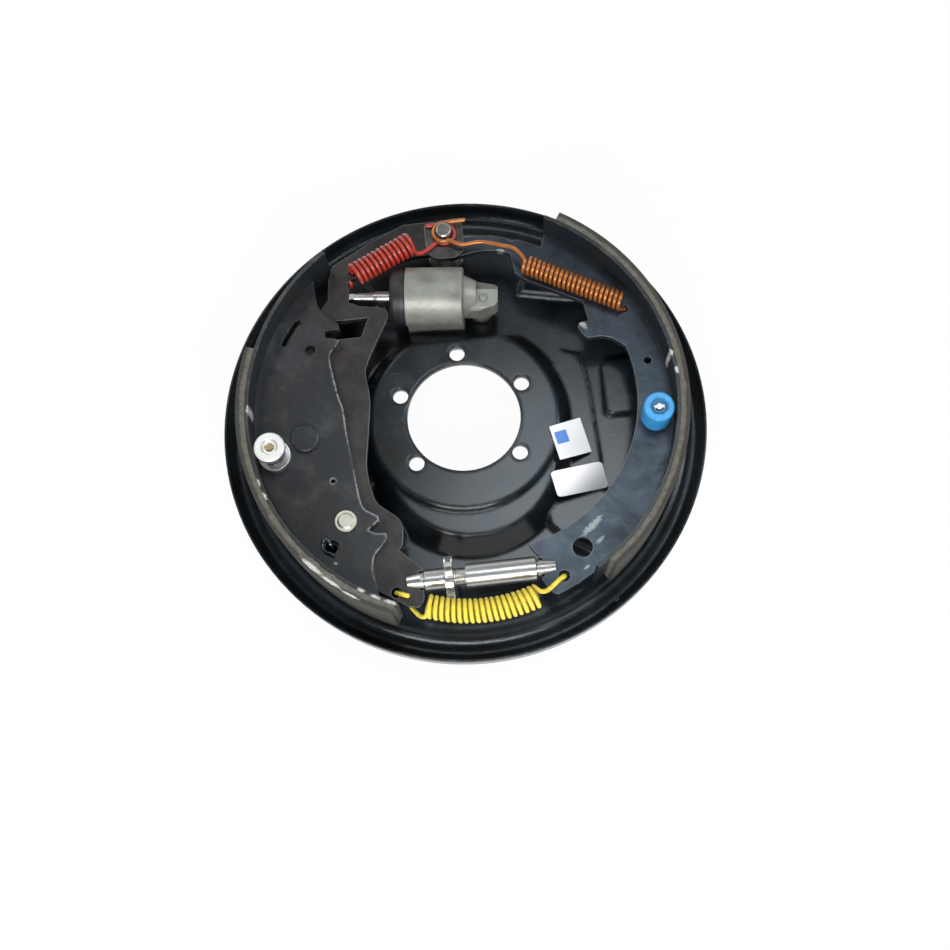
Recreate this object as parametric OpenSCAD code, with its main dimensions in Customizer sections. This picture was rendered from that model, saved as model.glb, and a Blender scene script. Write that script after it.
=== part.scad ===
// Drum brake assembly of a trailer axle, lying on its back: one hydraulic cylinder,
// two shoes chained by a star wheel adjuster, and a lever that frees the brake in reverse.
// +Z is the wheel axis towards the drum, +Y points from the axle centre to the anchor post.
// The origin is the centre of the pilot hole at the rear mounting face.

/* [Backing plate] */
// Steel thickness of the pressed backing plate
plate_t = 4.5; // [3.5:0.5:6]
// Outside radius of the rolled rim
plate_r = 168.8; // [166.4:0.4:174.4]
// Height of the raised centre above the plate floor
mesa_h = 17; // [13:0.5:21]
// Radius of the raised centre at its top
mesa_r = 66; // [62:0.5:70]
// Spread of the centre's wall from its top to the floor
mesa_spread = 10; // [7:0.5:12]
// Distance from the centre to the straight edge under the cylinder
mesa_flat = 57; // [54:0.5:59]
// Height of the pressed ledges that the shoes slide on
ledge_h = 4.6; // [3.5:0.1:5.5]
// Height of the ridge inside the drum edge
ridge_h = 2.4; // [1:0.2:3.2]

/* [Axle flange] */
// Radius of the pilot hole
pilot_r = 39.4; // [36:0.2:40]
// Radius of the circle through the flange bolts
bolt_circle_r = 46.8; // [46.4:0.2:52]
// Radius of one flange bolt hole
bolt_hole_r = 5.4; // [4:0.1:6]
// Angle from one bolt hole to the next, counted from the top hole
bolt_step = 65.1; // [58:0.1:70]

/* [Linings and shoes] */
// Outer radius of the worn-in linings, about 1.4 mm inside the drum
lining_r = 151; // [149.5:0.5:151.5]
// Width of the linings along the wheel axis
lining_w = 50.8; // [44:0.4:56]
// Thickness of the lining material
lining_t = 6; // [4:0.5:7]
// Thickness of the curved shoe table
table_t = 2.6; // [2:0.2:3.2]
// Thickness of each flat shoe web and of the lever
web_t = 4.8; // [4:0.2:5.6]
// Radius of the curved inner edge of the secondary web
web_arc_r = 107; // [104:0.5:110]

/* [Anchor] */
// Distance from the axle centre to the anchor post
anchor_y = 130; // [129:0.5:131]
// Radius of the post where the shoes seat
anchor_r = 8; // [7:0.5:9]
// Radius of the slimmer top that carries the spring hooks
anchor_top_r = 5.4; // [5:0.2:6]
// Thickness of the guide plate over the shoes
guide_t = 2.4; // [1.6:0.2:3]

/* [Wheel cylinder] */
// Outer radius of the cylinder body
cyl_r = 20.5; // [18.5:0.5:22]
// Length of the turned cylinder body
cyl_len = 40.2; // [36:0.2:41]
// Radius of the bore for the piston
bore_r = 14; // [11:0.5:15]
// Angle that the cylinder leans off the cross axis
cyl_lean = 6.35; // [5:0.05:7.5]
// Radius of the thick part of the push rod
rod_r = 4.1; // [3.4:0.1:4.6]

/* [Adjuster] */
// Distance from the axle centre to the adjuster axis
adjuster_y = 115; // [114:0.5:116]
// Outer radius of the star wheel over its teeth
star_r = 14; // [12:0.5:14]
// Number of teeth on the star wheel
star_teeth = 12; // [8:1:16]
// Radius of the long threaded sleeve
sleeve_r = 8.2; // [7.6:0.2:9.2]
// Radius of the adjusting screw
screw_r = 5.8; // [4.2:0.2:6.4]

/* [Springs] */
// Wire radius of the primary return spring
red_wire_r = 1.5; // [1.1:0.1:1.6]
// Coil count of the primary return spring
red_turns = 13; // [10:1:13]
// Wire radius of the secondary return spring
copper_wire_r = 1.4; // [1:0.1:1.5]
// Coil count of the secondary return spring
copper_turns = 21; // [16:1:22]
// Wire radius of the adjuster spring
yellow_wire_r = 1.6; // [1.2:0.1:1.6]
// Coil count of the adjuster spring
yellow_turns = 19; // [15:1:20]

/* [Hold-downs] */
// Sideways distance from the axle centre to each hold-down pin
hold_x = 129; // [128:0.5:130]
// Radius of the pressed cups
cup_r = 10.2; // [9:0.2:10.6]
// Radius of the hold-down pin
hold_pin_r = 2.2; // [1.8:0.1:2.5]

/* [Hidden] */

// Gap between pieces that slide past each other
gap = 0.3;
// Radial clearance of a turning or sliding fit
fit = 0.05;

floor_z = plate_t - mesa_h;
rear_z = floor_z - plate_t;
lining_z = floor_z + ledge_h + gap;
web_mid = lining_z + lining_w / 2;
web_z = web_mid - web_t / 2;
web_top = web_z + web_t;
front_z = web_top + gap;
front_top = front_z + web_t;
table_r = lining_r - lining_t;
table_in = table_r - table_t;
drum_r = lining_r + 1.4;
flange_slope = mesa_spread / mesa_h;
wall_x = plate_t / cos(atan(flange_slope));
hold_y = -20.8;

// Circle of the secondary web's inner edge
web_arc_c = [12.5, 6];

function unit(v) = v / norm(v);
function polar(r, a) = [r * cos(a), r * sin(a)];
function arc(c, r, a0, a1, n) = [for (i = [0:n]) c + polar(r, a0 + (a1 - a0) * i / n)];
function backwards(p) = [for (i = [len(p) - 1:-1:0]) p[i]];
function raised(p, z) = [for (q = p) [q[0], q[1], z]];
function hump(x, w) = abs(x) < w ? (1 + cos(180 * x / w)) / 2 : 0;

// Catmull-Rom curve through hand-set points
function span(a, b, c, d, s) =
    0.5 * (2 * b + (c - a) * s + (2 * a - 5 * b + 4 * c - d) * s * s
    + (3 * b - a - 3 * c + d) * s * s * s);
function curve(p, n) = concat(
    [for (i = [0:len(p) - 2]) for (k = [0:n - 1])
        span(p[max(i - 1, 0)], p[i], p[i + 1], p[min(i + 2, len(p) - 1)], k / n)],
    [p[len(p) - 1]]);

// Round wire swept along points, with the section carried without twist
function tangents(p) =
    [for (i = [0:len(p) - 1]) unit(p[min(i + 1, len(p) - 1)] - p[max(i - 1, 0)])];
function first_side(t) = unit(cross(t, abs(t[2]) < 0.8 ? [0, 0, 1] : [1, 0, 0]));
function carry(n, t) = unit(n - (n * t) * t);
function sides_of(t) =
    [for (i = 0, n = first_side(t[0]); i < len(t);
          i = i + 1, n = i < len(t) ? carry(n, t[i]) : n) n];

module wire(p, r, sides) {
    t = tangents(p);
    n = sides_of(t);
    last = len(p) - 1;
    ring = [for (i = [0:last]) for (k = [0:sides - 1])
        p[i] + r * (cos(360 * k / sides) * n[i] + sin(360 * k / sides) * cross(t[i], n[i]))];
    skin = [for (i = [0:last - 1]) for (k = [0:sides - 1])
        let (a = i * sides + k, b = i * sides + (k + 1) % sides)
        each [[a, b + sides, b], [a, a + sides, b + sides]]];
    start_cap = [[for (k = [0:sides - 1]) k]];
    end_cap = [[for (k = [sides - 1:-1:0]) last * sides + k]];
    polyhedron(points = ring, faces = concat(skin, start_cap, end_cap));
}

// Points of a coil round a line that may sag sideways, its rings square to the sagging axis
function coil(a, b, r, turns, steps, phase, sag) =
    let (w = unit(b - a), u = unit(cross(w, [0, 0, 1])), n = turns * steps)
    [for (i = [0:n])
        let (s = i / n, q = phase + 360 * turns * s,
             t = unit(b - a + sag * 4 * (1 - 2 * s) * u), lu = unit(cross(t, [0, 0, 1])),
             v = cross(lu, t))
        a + (b - a) * s + sag * (4 * s * (1 - s)) * u + r * (cos(q) * lu - sin(q) * v)];

// Profile of the rolled rim: a ridge, the groove for the drum edge and the tall outer lip
rim_start = 134;
groove_z = floor_z - 2.5;
lip_z = groove_z + 12;
function out(s) = drum_r + s * (plate_r - drum_r);
rim_front = [[rim_start, floor_z], [139, floor_z - 0.6], [144, floor_z - 0.9], [148, floor_z - 0.2],
             [out(-0.14), floor_z + 0.4 * ridge_h], [out(-0.03), floor_z + 0.85 * ridge_h],
             [out(0.09), floor_z + ridge_h], [out(0.21), floor_z + 0.8 * ridge_h],
             [out(0.33), floor_z - 0.4], [out(0.42), groove_z + 0.7], [out(0.53), groove_z],
             [out(0.63), groove_z + 0.5], [out(0.73), groove_z + 2.6], [out(0.82), groove_z + 6.2],
             [out(0.89), lip_z - 2], [out(0.93), lip_z - 0.3], [out(0.965), lip_z],
             [plate_r, lip_z - 0.7]];
rim_rear = [[plate_r, groove_z - plate_t + 2.2], [out(0.95), groove_z - plate_t + 0.7],
            [out(0.86), groove_z - plate_t], [out(0.5), groove_z - plate_t],
            [out(0.34), groove_z - plate_t + 1], [out(0.22), rear_z + 0.5],
            [out(0.05), rear_z + 0.9], [out(-0.2), rear_z], [rim_start, rear_z]];

// Pressed ledges that carry the shoe tables, drawn for the right-hand side
ledge_mid = [[101, -2], [104, -5], [146, -5], [146, 34], [107, 34], [102, 30]];
ledge_top = [[52, 95], [88, 87], [113, 96], [98, 110], [72, 127], [54, 103]];
ledge_low = [[57, -66], [88, -60], [94, -62], [124, -77], [94, -111], [58, -87], [52, -80], [51, -72]];
ledges = [ledge_mid, ledge_top, ledge_low];
function middle(p) = [for (k = [0:1]) let (v = [for (q = p) q[k]]) (min(v) + max(v)) / 2];

// Mesa and shelf are turned shapes with rounded edges
function step_profile(top_r, foot_r, top_z, foot_z, round_r) =
    let (lean = atan((foot_r - top_r) / (top_z - foot_z)),
         tight = round_r * tan((90 - lean) / 2))
    concat([[0, foot_z], [0, top_z]],
        arc([top_r - tight, top_z - round_r], round_r, 90, lean, 5),
        arc([foot_r + tight, foot_z + round_r], round_r, 180 + lean, 270, 5));

shelf_c = [2, -26];
shelf_drop = 4;
shelf_r = 58;
shelf_spread = 13;
shelf_z = plate_t - shelf_drop;

module mesa(inset, drop, low_z) {
    top_z = plate_t - drop;
    lean = atan(5 / mesa_h);
    r_top = mesa_r - inset + flange_slope * drop;
    r_low = r_top + flange_slope * (top_z - low_z);
    intersection() {
        rotate_extrude($fn = 96) polygon(step_profile(r_top, r_low, top_z, low_z, 3));
        translate([0, mesa_flat - inset + drop * tan(lean), top_z])
            rotate([lean, 0, 0]) translate([-150, -250, -100]) cube([300, 250, 200]);
    }
}

module shelf(inset, drop, low_z) {
    top_z = shelf_z - drop;
    slope = shelf_spread / (shelf_z - floor_z);
    r_top = shelf_r - inset + slope * drop;
    r_low = r_top + slope * (top_z - low_z);
    translate([shelf_c[0], shelf_c[1], 0])
        rotate_extrude($fn = 96) polygon(step_profile(r_top, r_low, top_z, low_z, 3));
}

// Low pressed pad between the raised centre and the shoe, with a straight outer step
pad = [[56, 20], [74, 49], [88, 44], [91, 20], [92.5, -40], [78, -52], [58, -30]];
module side_pad() {
    c = middle(pad);
    translate([c[0], c[1], floor_z - 1]) linear_extrude(height = 2.9, scale = 0.95)
        translate([-c[0], -c[1]]) polygon(pad);
}

module dart(side) {
    top_y = shelf_c[1] - shelf_r + 11;
    low_y = top_y - 22;
    p = [[13, top_y, shelf_z - 0.8], [14, low_y, floor_z - 1], [31, low_y + 4, floor_z - 1],
         [13, top_y + 6, floor_z - 1]];
    translate([shelf_c[0], 0, 0]) mirror([side < 0 ? 1 : 0, 0, 0])
        polyhedron(points = p, faces = [[0, 2, 1], [0, 1, 3], [0, 3, 2], [1, 2, 3]]);
}

module both_sides() {
    children();
    mirror([1, 0, 0]) children();
}

module ledge(p) {
    c = middle(p);
    grow = 1.16;
    translate([c[0], c[1], floor_z - 1]) linear_extrude(height = ledge_h + 1, scale = 1 / grow)
        scale(grow) translate([-c[0], -c[1]]) polygon(p);
}

module ledge_hollow(p) {
    c = middle(p);
    translate([c[0], c[1], rear_z - 1]) linear_extrude(height = ledge_h + 1)
        scale(0.82) translate([-c[0], -c[1]]) polygon(p);
}

slot_x = -21.2;
slot_len = 22;
slot_w = 9;
module slot_shape(grow, z0, h) {
    translate([slot_x, -adjuster_y, z0]) {
        for (s = [-1, 1])
            translate([0, s * (slot_len - slot_w) / 2, 0]) cylinder(h = h, r = slot_w / 2 + grow, $fn = 32);
        translate([-slot_w / 2 - grow, (slot_w - slot_len) / 2, 0])
            cube([slot_w + 2 * grow, slot_len - slot_w, h]);
    }
}

module backing_plate() {
    color("#24272b") difference() {
        union() {
            rotate_extrude($fn = 128) polygon(concat(rim_front, rim_rear));
            translate([0, 0, rear_z]) cylinder(h = plate_t, r = rim_start + 0.5, $fn = 128);
            mesa(0, 0, floor_z);
            shelf(0, 0, floor_z);
            for (s = [-1, 1]) dart(s);
            both_sides() {
                for (p = ledges) ledge(p);
                side_pad();
            }
        }
        mesa(wall_x, plate_t, rear_z - 1);
        shelf(wall_x, plate_t, rear_z - 1);
        both_sides() for (p = ledges) ledge_hollow(p);
        translate([0, 0, rear_z - 1]) cylinder(h = mesa_h + plate_t + 2, r = pilot_r, $fn = 96);
        for (k = [-2:2]) rotate([0, 0, 90 + k * bolt_step]) translate([bolt_circle_r, 0, -1])
            cylinder(h = plate_t + 2, r = bolt_hole_r, $fn = 40);
        for (s = [-1, 1]) translate([s * hold_x, hold_y, rear_z - 1])
            cylinder(h = plate_t + 2, r = hold_pin_r + gap, $fn = 24);
        translate([0, anchor_y, rear_z - 1]) cylinder(h = plate_t + 2, r = shank_r, $fn = 40);
        cylinder_frame() {
            for (x = bolt_xs) translate([x, 0, rear_z - web_mid - 1])
                cylinder(h = plate_t + 2, r = bolt_r + gap, $fn = 24);
            translate([port_x, 0, rear_z - web_mid - 1])
                cylinder(h = plate_t + 2, r = port_r + gap, $fn = 32);
            translate([0, 0, rear_z - web_mid - 1])
                cylinder(h = plate_t + 2, r = inlet_boss_r + gap, $fn = 32);
        }
        slot_shape(0, rear_z - 1, plate_t + 2);
    }
}

// Anchor post, swaged behind the plate, with a shoulder under the guide plate
shank_r = 6.5;
post_collar_r = 13;
post_collar_t = 4;
guide_z = front_z;
hook_z = guide_z + guide_t + gap + red_wire_r;
second_hook_z = hook_z + red_wire_r + copper_wire_r + gap;
post_top = second_hook_z + copper_wire_r + 2.6;

module anchor_post() {
    color("#8d9193") translate([0, anchor_y, 0]) {
        translate([0, 0, rear_z - 2.6]) cylinder(h = 2.6, r1 = 7.5, r2 = 10, $fn = 40);
        translate([0, 0, rear_z]) cylinder(h = plate_t, r = shank_r, $fn = 40);
        translate([0, 0, floor_z]) cylinder(h = post_collar_t, r = post_collar_r, $fn = 48);
        translate([0, 0, floor_z]) cylinder(h = guide_z - floor_z, r = anchor_r, $fn = 48);
        translate([0, 0, guide_z]) cylinder(h = post_top - guide_z - 0.8, r = anchor_top_r, $fn = 40);
        translate([0, 0, post_top - 0.8])
            cylinder(h = 0.8, r1 = anchor_top_r, r2 = anchor_top_r - 0.8, $fn = 40);
    }
}

module guide_plate() {
    color("#9a9c98") difference() {
        intersection() {
            translate([-13.5, anchor_y - 18, guide_z]) cube([27, 28, guide_t]);
            translate([0, anchor_y - 2, guide_z]) cylinder(h = guide_t, r = 17, $fn = 64);
        }
        translate([0, anchor_y, guide_z - 1]) cylinder(h = guide_t + 2, r = anchor_top_r + fit, $fn = 40);
    }
}

// Wheel cylinder, drawn along its own axis: +X runs from the closed end to the push rod
cyl_c = [-11, 85.8];
half_cyl = cyl_len / 2;
bolt_xs = [-15.2, 15.2];
bolt_r = 4;
port_x = -32;
port_r = 7;
inlet_r = 4.2;
inlet_boss_r = 6.4;
inlet_depth = 11;
spigot_len = 5;
spigot_r = cyl_r - 3.6;
piston_start = -1;
seal_len = 6;
bore_end = -16;
piston_len = half_cyl + spigot_len - 1.5 - piston_start;
rod_seat = piston_start + piston_len - 11;
rod_step = 40.4;
rod_tip = 56.8;
blade_len = 3.4;
blade_end = rod_tip + blade_len;

module cylinder_frame() {
    translate([cyl_c[0], cyl_c[1], web_mid]) rotate([0, 0, 180 - cyl_lean]) children();
}

module along_x(x0, h, r1, r2) {
    translate([x0, 0, 0]) rotate([0, 90, 0]) cylinder(h = h, r1 = r1, r2 = r2, $fn = 64);
}

module cylinder_body() {
    foot_w = 30;
    boss_h = web_mid - floor_z;
    color("#a3a69c") cylinder_frame() difference() {
        union() {
            along_x(-half_cyl + 1, cyl_len - 1, cyl_r, cyl_r);
            along_x(-half_cyl, 1, cyl_r - 1, cyl_r);
            along_x(half_cyl, spigot_len, spigot_r, spigot_r);
            along_x(-half_cyl - 9, 9.5, 11, 15.5);
            closed_end();
            translate([-half_cyl, -foot_w / 2, -boss_h]) cube([cyl_len, foot_w, boss_h]);
            translate([port_x, 0, rear_z - web_mid - 4]) cylinder(h = boss_h, r = port_r, $fn = 32);
            translate([0, 0, inlet_z]) cylinder(h = boss_h, r = inlet_boss_r, $fn = 32);
        }
        translate([0, 0, inlet_z - 1]) cylinder(h = inlet_depth + 1, r = inlet_r, $fn = 32);
        translate([0, 0, inlet_z]) cylinder(h = boss_h, r = 1.6, $fn = 20);
        along_x(bore_end, half_cyl + spigot_len + 1 - bore_end, bore_r, bore_r);
        for (x = bolt_xs) translate([x, 0, -boss_h - 1]) cylinder(h = 11, r = bolt_r, $fn = 24);
        translate([port_x, 0, rear_z - web_mid - 5]) cylinder(h = 16, r = bleeder_r + fit, $fn = 24);
    }
}

// Boss at the closed end: a flat facet with a plug on one side, a slope on the other
module closed_end() {
    x0 = -half_cyl - 24;
    intersection() {
        translate([x0, 0, 0]) rotate([90, 0, 90]) linear_extrude(height = 25)
            polygon([[-13, -9], [-13, -4], [-2, 8], [11, 6.5], [12.5, 4], [12.5, -9]]);
        translate([0, 0, -9]) linear_extrude(height = 20)
            polygon([[x0, -6], [x0, 7], [x0 + 2, 9.5], [x0 + 12, 12.5], [x0 + 25, 12.5],
                     [x0 + 25, -13], [x0 + 14, -13], [x0 + 3, -9]]);
    }
    translate([x0 + 10, 4.5, 5]) cylinder(h = 3.2, r = 2.6, $fn = 24);
}

module cylinder_bolts() {
    head_z = rear_z - web_mid - 7;
    color("#b9bcbd") cylinder_frame() for (x = bolt_xs) translate([x, 0, 0]) {
        translate([0, 0, head_z]) cylinder(h = 5.4, r = 7, $fn = 6);
        translate([0, 0, head_z + 5.4]) cylinder(h = 1.6, r = 7.4, $fn = 32);
        translate([0, 0, head_z + 7]) cylinder(h = plate_t + 9.5, r = bolt_r, $fn = 24);
    }
}

module cylinder_boot() {
    in_r = spigot_r + fit;
    x0 = half_cyl + gap;
    wall = 2.6;
    len = 10.6;
    profile = [[in_r, x0], [in_r + wall, x0], [in_r + wall + 0.4, x0 + 3], [in_r + wall, x0 + len - 3],
               [in_r + wall - 1.2, x0 + len - 1], [in_r + wall - 4, x0 + len], [rod_r + 3, x0 + len],
               [rod_r + gap, x0 + len + 1], [rod_r + gap, x0 + len - 1.6], [in_r - 1, x0 + len - 2.4],
               [in_r, x0 + len - 4]];
    color("#34363a") cylinder_frame() rotate([0, 90, 0]) rotate_extrude($fn = 64) polygon(profile);
}

module piston() {
    color("#c2c4c2") cylinder_frame() difference() {
        along_x(piston_start, piston_len, bore_r - fit, bore_r - fit);
        along_x(rod_seat, 12, rod_r + fit, rod_r + 0.6);
    }
}

module piston_seal() {
    x0 = piston_start - seal_len;
    lip = bore_r - fit;
    profile = [[0, x0 + seal_len], [lip, x0 + seal_len], [lip, x0], [lip - 2, x0], [lip - 3, x0 + 3.4],
               [0, x0 + 3.4]];
    color("#1c1c1d") cylinder_frame() rotate([0, 90, 0]) rotate_extrude($fn = 48) polygon(profile);
}

module piston_spring() {
    r = bore_r - 6;
    x0 = bore_end + 0.9 + 0.05;
    x1 = piston_start - seal_len + 3.4 - 0.9 - 0.05;
    turns = 4;
    steps = 12;
    points = [for (i = [0:turns * steps])
        let (s = i / (turns * steps), q = 360 * turns * s)
        [x0 + (x1 - x0) * min(1, max(0, (s - 0.12) / 0.76)), r * cos(q) * (0.8 + 0.2 * s),
         r * sin(q) * (0.8 + 0.2 * s)]];
    color("#8f9294") cylinder_frame() wire(points, 0.9, 6);
}

module push_rod() {
    color("#e6e8e8") cylinder_frame() {
        along_x(rod_seat + fit, rod_step - rod_seat - fit, rod_r, rod_r);
        along_x(rod_step, 3, rod_r, 0.82 * rod_r);
        along_x(rod_step + 3, rod_tip - rod_step - 3, 0.82 * rod_r, 0.7 * rod_r);
        translate([rod_tip, -0.5 * rod_r, -0.45 * rod_r]) cube([blade_len, rod_r, 0.9 * rod_r]);
    }
}

bleeder_r = 3.4;
bleeder_z = rear_z - web_mid - 4;
inlet_z = rear_z - web_mid - 2;
module bleeder_screw() {
    color("#c9b37a") cylinder_frame() translate([port_x, 0, 0]) {
        translate([0, 0, bleeder_z]) cylinder(h = 10, r = bleeder_r, $fn = 24);
        translate([0, 0, bleeder_z - 5]) cylinder(h = 5, r = 5, $fn = 6);
        translate([0, 0, bleeder_z - 11]) cylinder(h = 6, r = 2.3, $fn = 24);
    }
}

module bleeder_cap() {
    color("#2a2a2b") cylinder_frame() translate([port_x, 0, bleeder_z - 12.5]) difference() {
        cylinder(h = 7, r = 3.8, $fn = 32);
        translate([0, 0, 1.5]) cylinder(h = 7, r = 2.3 + fit, $fn = 24);
    }
}

// Lever behind the primary shoe: from the anchor post past the push rod to the adjuster
pivot_c = [-108.1, -11];
rivet_c = [-84.9, -71.2];
clip_c = [-95.4, -87.4];
seat_gap_x = 1.5;
fork_seat_x = 41;
fork_half = 6.4;
red_hole = [-67.4, 110];
yellow_left = [-56.3, -121.4];
yellow_right = [53.8, -122.4];
copper_hole = [119.3, 60];

lever_back = [[-10, 143], [-28.4, 143], [-53.5, 131.7], [-80.4, 117], [-84.7, 106.5], [-86, 91.2],
              [-104, 66], [-112, 30], [-120, 0], [-120, -22], [-104, -52], [-97, -82], [-86, -104],
              [-67, -119.4]];
lever_nose = [[-57, -126.4], [-49, -131.2], [-42.4, -132], [-38.9, -128.2],
              [-38.4, -adjuster_y - fork_half]];
lever_seat = [[-fork_seat_x, -adjuster_y - fork_half], [-fork_seat_x, -adjuster_y + fork_half],
              [-38, -adjuster_y + fork_half]];
lever_chin = [-37.6, -107.3];
lever_inner = [[-52.1, -93.2], [-49.8, -90], [-48.5, -82], [-49.6, -72.9], [-58, -64.8], [-65, -57.3],
               [-68.7, -35.9], [-66.3, -14.9], [-62.6, 13.6], [-64, 29.9], [-63.3, 38], [-55.8, 53.5],
               [-46.7, 69.8], [-44.9, 74.9], [-46.5, 80.4]];
lever_edge = concat(lever_back, curve(lever_nose, 3), lever_seat, [lever_chin],
                    curve(lever_inner, 3), [[-65.2, 84.2], [-68.5, 86.4]]);
notch_top = [[-71.5, 102.6], [-67, 105.4], [-45, 113], [-22, 117.5], [-seat_gap_x, 117.5],
             [-seat_gap_x, 141]];
window_edge = [[-90, 74.6], [-58.9, 74.6], [-65, 60.6], [-90, 60.8]];

module free_backing_lever() {
    color("#5d5652") difference() {
        translate([0, 0, web_z]) linear_extrude(height = web_t) difference() {
            polygon(concat(lever_edge, notch_base(), notch_top));
            polygon(window_edge);
        }
        translate([0, anchor_y, web_z - 1]) cylinder(h = web_t + 2, r = anchor_r + gap, $fn = 48);
        translate([pivot_c[0], pivot_c[1], web_z - 1]) cylinder(h = web_t + 2, r = pivot_r, $fn = 40);
        translate([rivet_c[0], rivet_c[1], web_z - 1]) cylinder(h = web_t + 2, r = rivet_r, $fn = 32);
        translate([clip_c[0], clip_c[1], web_z - 1]) cylinder(h = web_t + 2, r = 3, $fn = 24);
        translate([red_hole[0], red_hole[1], web_z - 1])
            cylinder(h = web_t + 2, r = red_wire_r + 1.2, $fn = 32);
        translate([yellow_left[0], yellow_left[1], web_z - 1])
            cylinder(h = web_t + 2, r = yellow_wire_r + 1.9, $fn = 32);
    }
}

// Straight seat for the push rod's blade, square to the cylinder axis
function on_cylinder(x, y) =
    cyl_c + x * polar(1, 180 - cyl_lean) + y * polar(1, 270 - cyl_lean);
function notch_base() =
    [on_cylinder(blade_end + gap, 5.6), on_cylinder(blade_end + gap, -5)];

pivot_r = 6;
rivet_r = 4;
rivet_play = 1.2;
module pivot_pin() {
    color("#2b2d30") translate([pivot_c[0], pivot_c[1], 0]) {
        translate([0, 0, web_z - 2.4]) cylinder(h = 2.4, r = pivot_r + 2.4, $fn = 40);
        translate([0, 0, web_z]) cylinder(h = front_top + gap - web_z, r = pivot_r, $fn = 40);
        translate([0, 0, front_top + gap]) cylinder(h = 1.6, r = 9.6, $fn = 48);
        translate([0, 0, front_top + gap + 1.6]) cylinder(h = 0.9, r1 = 9.6, r2 = 8.7, $fn = 48);
    }
}

module stop_rivet() {
    color("#d0d1cf") translate([rivet_c[0], rivet_c[1], 0]) {
        translate([0, 0, web_z - 1.8]) cylinder(h = 1.8, r = rivet_r + 2, $fn = 32);
        translate([0, 0, web_z]) cylinder(h = front_top + gap - web_z, r = rivet_r, $fn = 32);
        translate([0, 0, front_top + gap]) cylinder(h = 1.4, r = 7.2, $fn = 40);
        translate([0, 0, front_top + gap + 1.4]) cylinder(h = 1.1, r1 = 5.6, r2 = 4.4, $fn = 32);
    }
}

clip_wire_r = 1.1;
module pivot_clip() {
    z = front_top + gap + clip_wire_r;
    c = [clip_c[0], clip_c[1], 0];
    points = curve([c + [0.6, 0.4, web_z - 2.4], c + [0.2, 0.2, web_mid], c + [0, 0, front_top - 1.2],
                    c + [-0.8, 1.6, front_top + 1.6], c + [-2, 4, z + 1.2], c + [-4.4, 5, z + 0.8],
                    c + [-6, 2.8, z + 0.1], c + [-5.8, -0.6, z], c + [-4, -3.2, z],
                    c + [-1.2, -4.6, z], c + [1.4, -6.6, z]], 4);
    color("#31435c") wire(points, clip_wire_r, 8);
}

// Shoes: a flat web welded to a curved table, with the lining bonded on its outside
primary_table_a = [125.6, 247.5];
primary_lining_a = [159.4, 247];
secondary_table_a = [-58.9, 60.6];
secondary_lining_a = [-55.2, 57.4];

module band(r, t, z, w, ends, fn) {
    rotate([0, 0, ends[0]]) translate([0, 0, z])
        rotate_extrude(angle = ends[1] - ends[0], $fn = fn) translate([r, 0]) square([t, w]);
}

primary_top = [[-94.7, 104.5], [-93.6, 89.8], [-91.3, 82], [-84.3, 73.5], [-79.6, 70.7]];
primary_inner = [[-79.8, 58], [-81.5, 54.4], [-86, 49.8], [-87.2, 42.5], [-83.5, 17.9], [-80.9, 8.1],
                 [-80, -7.8], [-78.4, -22.2], [-76.1, -43.6], [-74, -59.8], [-71.1, -64.9]];
primary_toe = [[-58.9, -85.4], [-61.9, -89.8], [-67.7, -95.9], [-69.8, -105.7], [-67.7, -119.2]];
primary_edge = concat([[-112, 112]], curve(primary_top, 3), [[-79.2, 66.2], [-89, 65.8], [-89.3, 61.4]],
                      curve(primary_inner, 3), [[-63.5, -69.9], [-63.1, -72.7], [-70.9, -78.6],
                      [-66.5, -81.2], [-59.3, -82]], curve(primary_toe, 3),
                      [[-66, -150], [-160, -150], [-160, 112]]);
curved_slot = [[-106.5, 76.5], [-110, 75], [-119, 62], [-120.2, 58.5], [-117, 57.5], [-112, 63],
               [-105, 73]];

module primary_web() {
    pin_play = 5;
    color("#3a3d40") difference() {
        intersection() {
            translate([0, 0, front_z]) cylinder(h = web_t, r = table_in, $fn = 128);
            translate([0, 0, front_z]) linear_extrude(height = web_t) polygon(primary_edge);
        }
        translate([pivot_c[0], pivot_c[1], front_z - 1])
            cylinder(h = web_t + 2, r = pivot_r + fit, $fn = 40);
        translate([rivet_c[0], rivet_c[1], front_z - 1])
            cylinder(h = web_t + 2, r = rivet_r + rivet_play, $fn = 32);
        translate([clip_c[0], clip_c[1], front_z - 1]) cylinder(h = web_t + 2, r = 4.6, $fn = 32);
        translate([-hold_x, hold_y, front_z - 1])
            cylinder(h = web_t + 2, r = hold_pin_r + pin_play, $fn = 32);
        translate([-100.3, 52.9, front_z - 1]) cylinder(h = web_t + 2, r = 3.6, $fn = 32);
        translate([-91.4, -42.5, front_z - 1]) cylinder(h = web_t + 2, r = 1.6, $fn = 20);
        translate([0, 0, front_z - 1]) linear_extrude(height = web_t + 2) polygon(curved_slot);
    }
}

module primary_table() {
    color("#33363a") band(table_in, table_t, lining_z, lining_w, primary_table_a, 160);
}

module primary_lining() {
    color("#8a8778") band(table_r, lining_t, lining_z, lining_w, primary_lining_a, 160);
}

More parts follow.
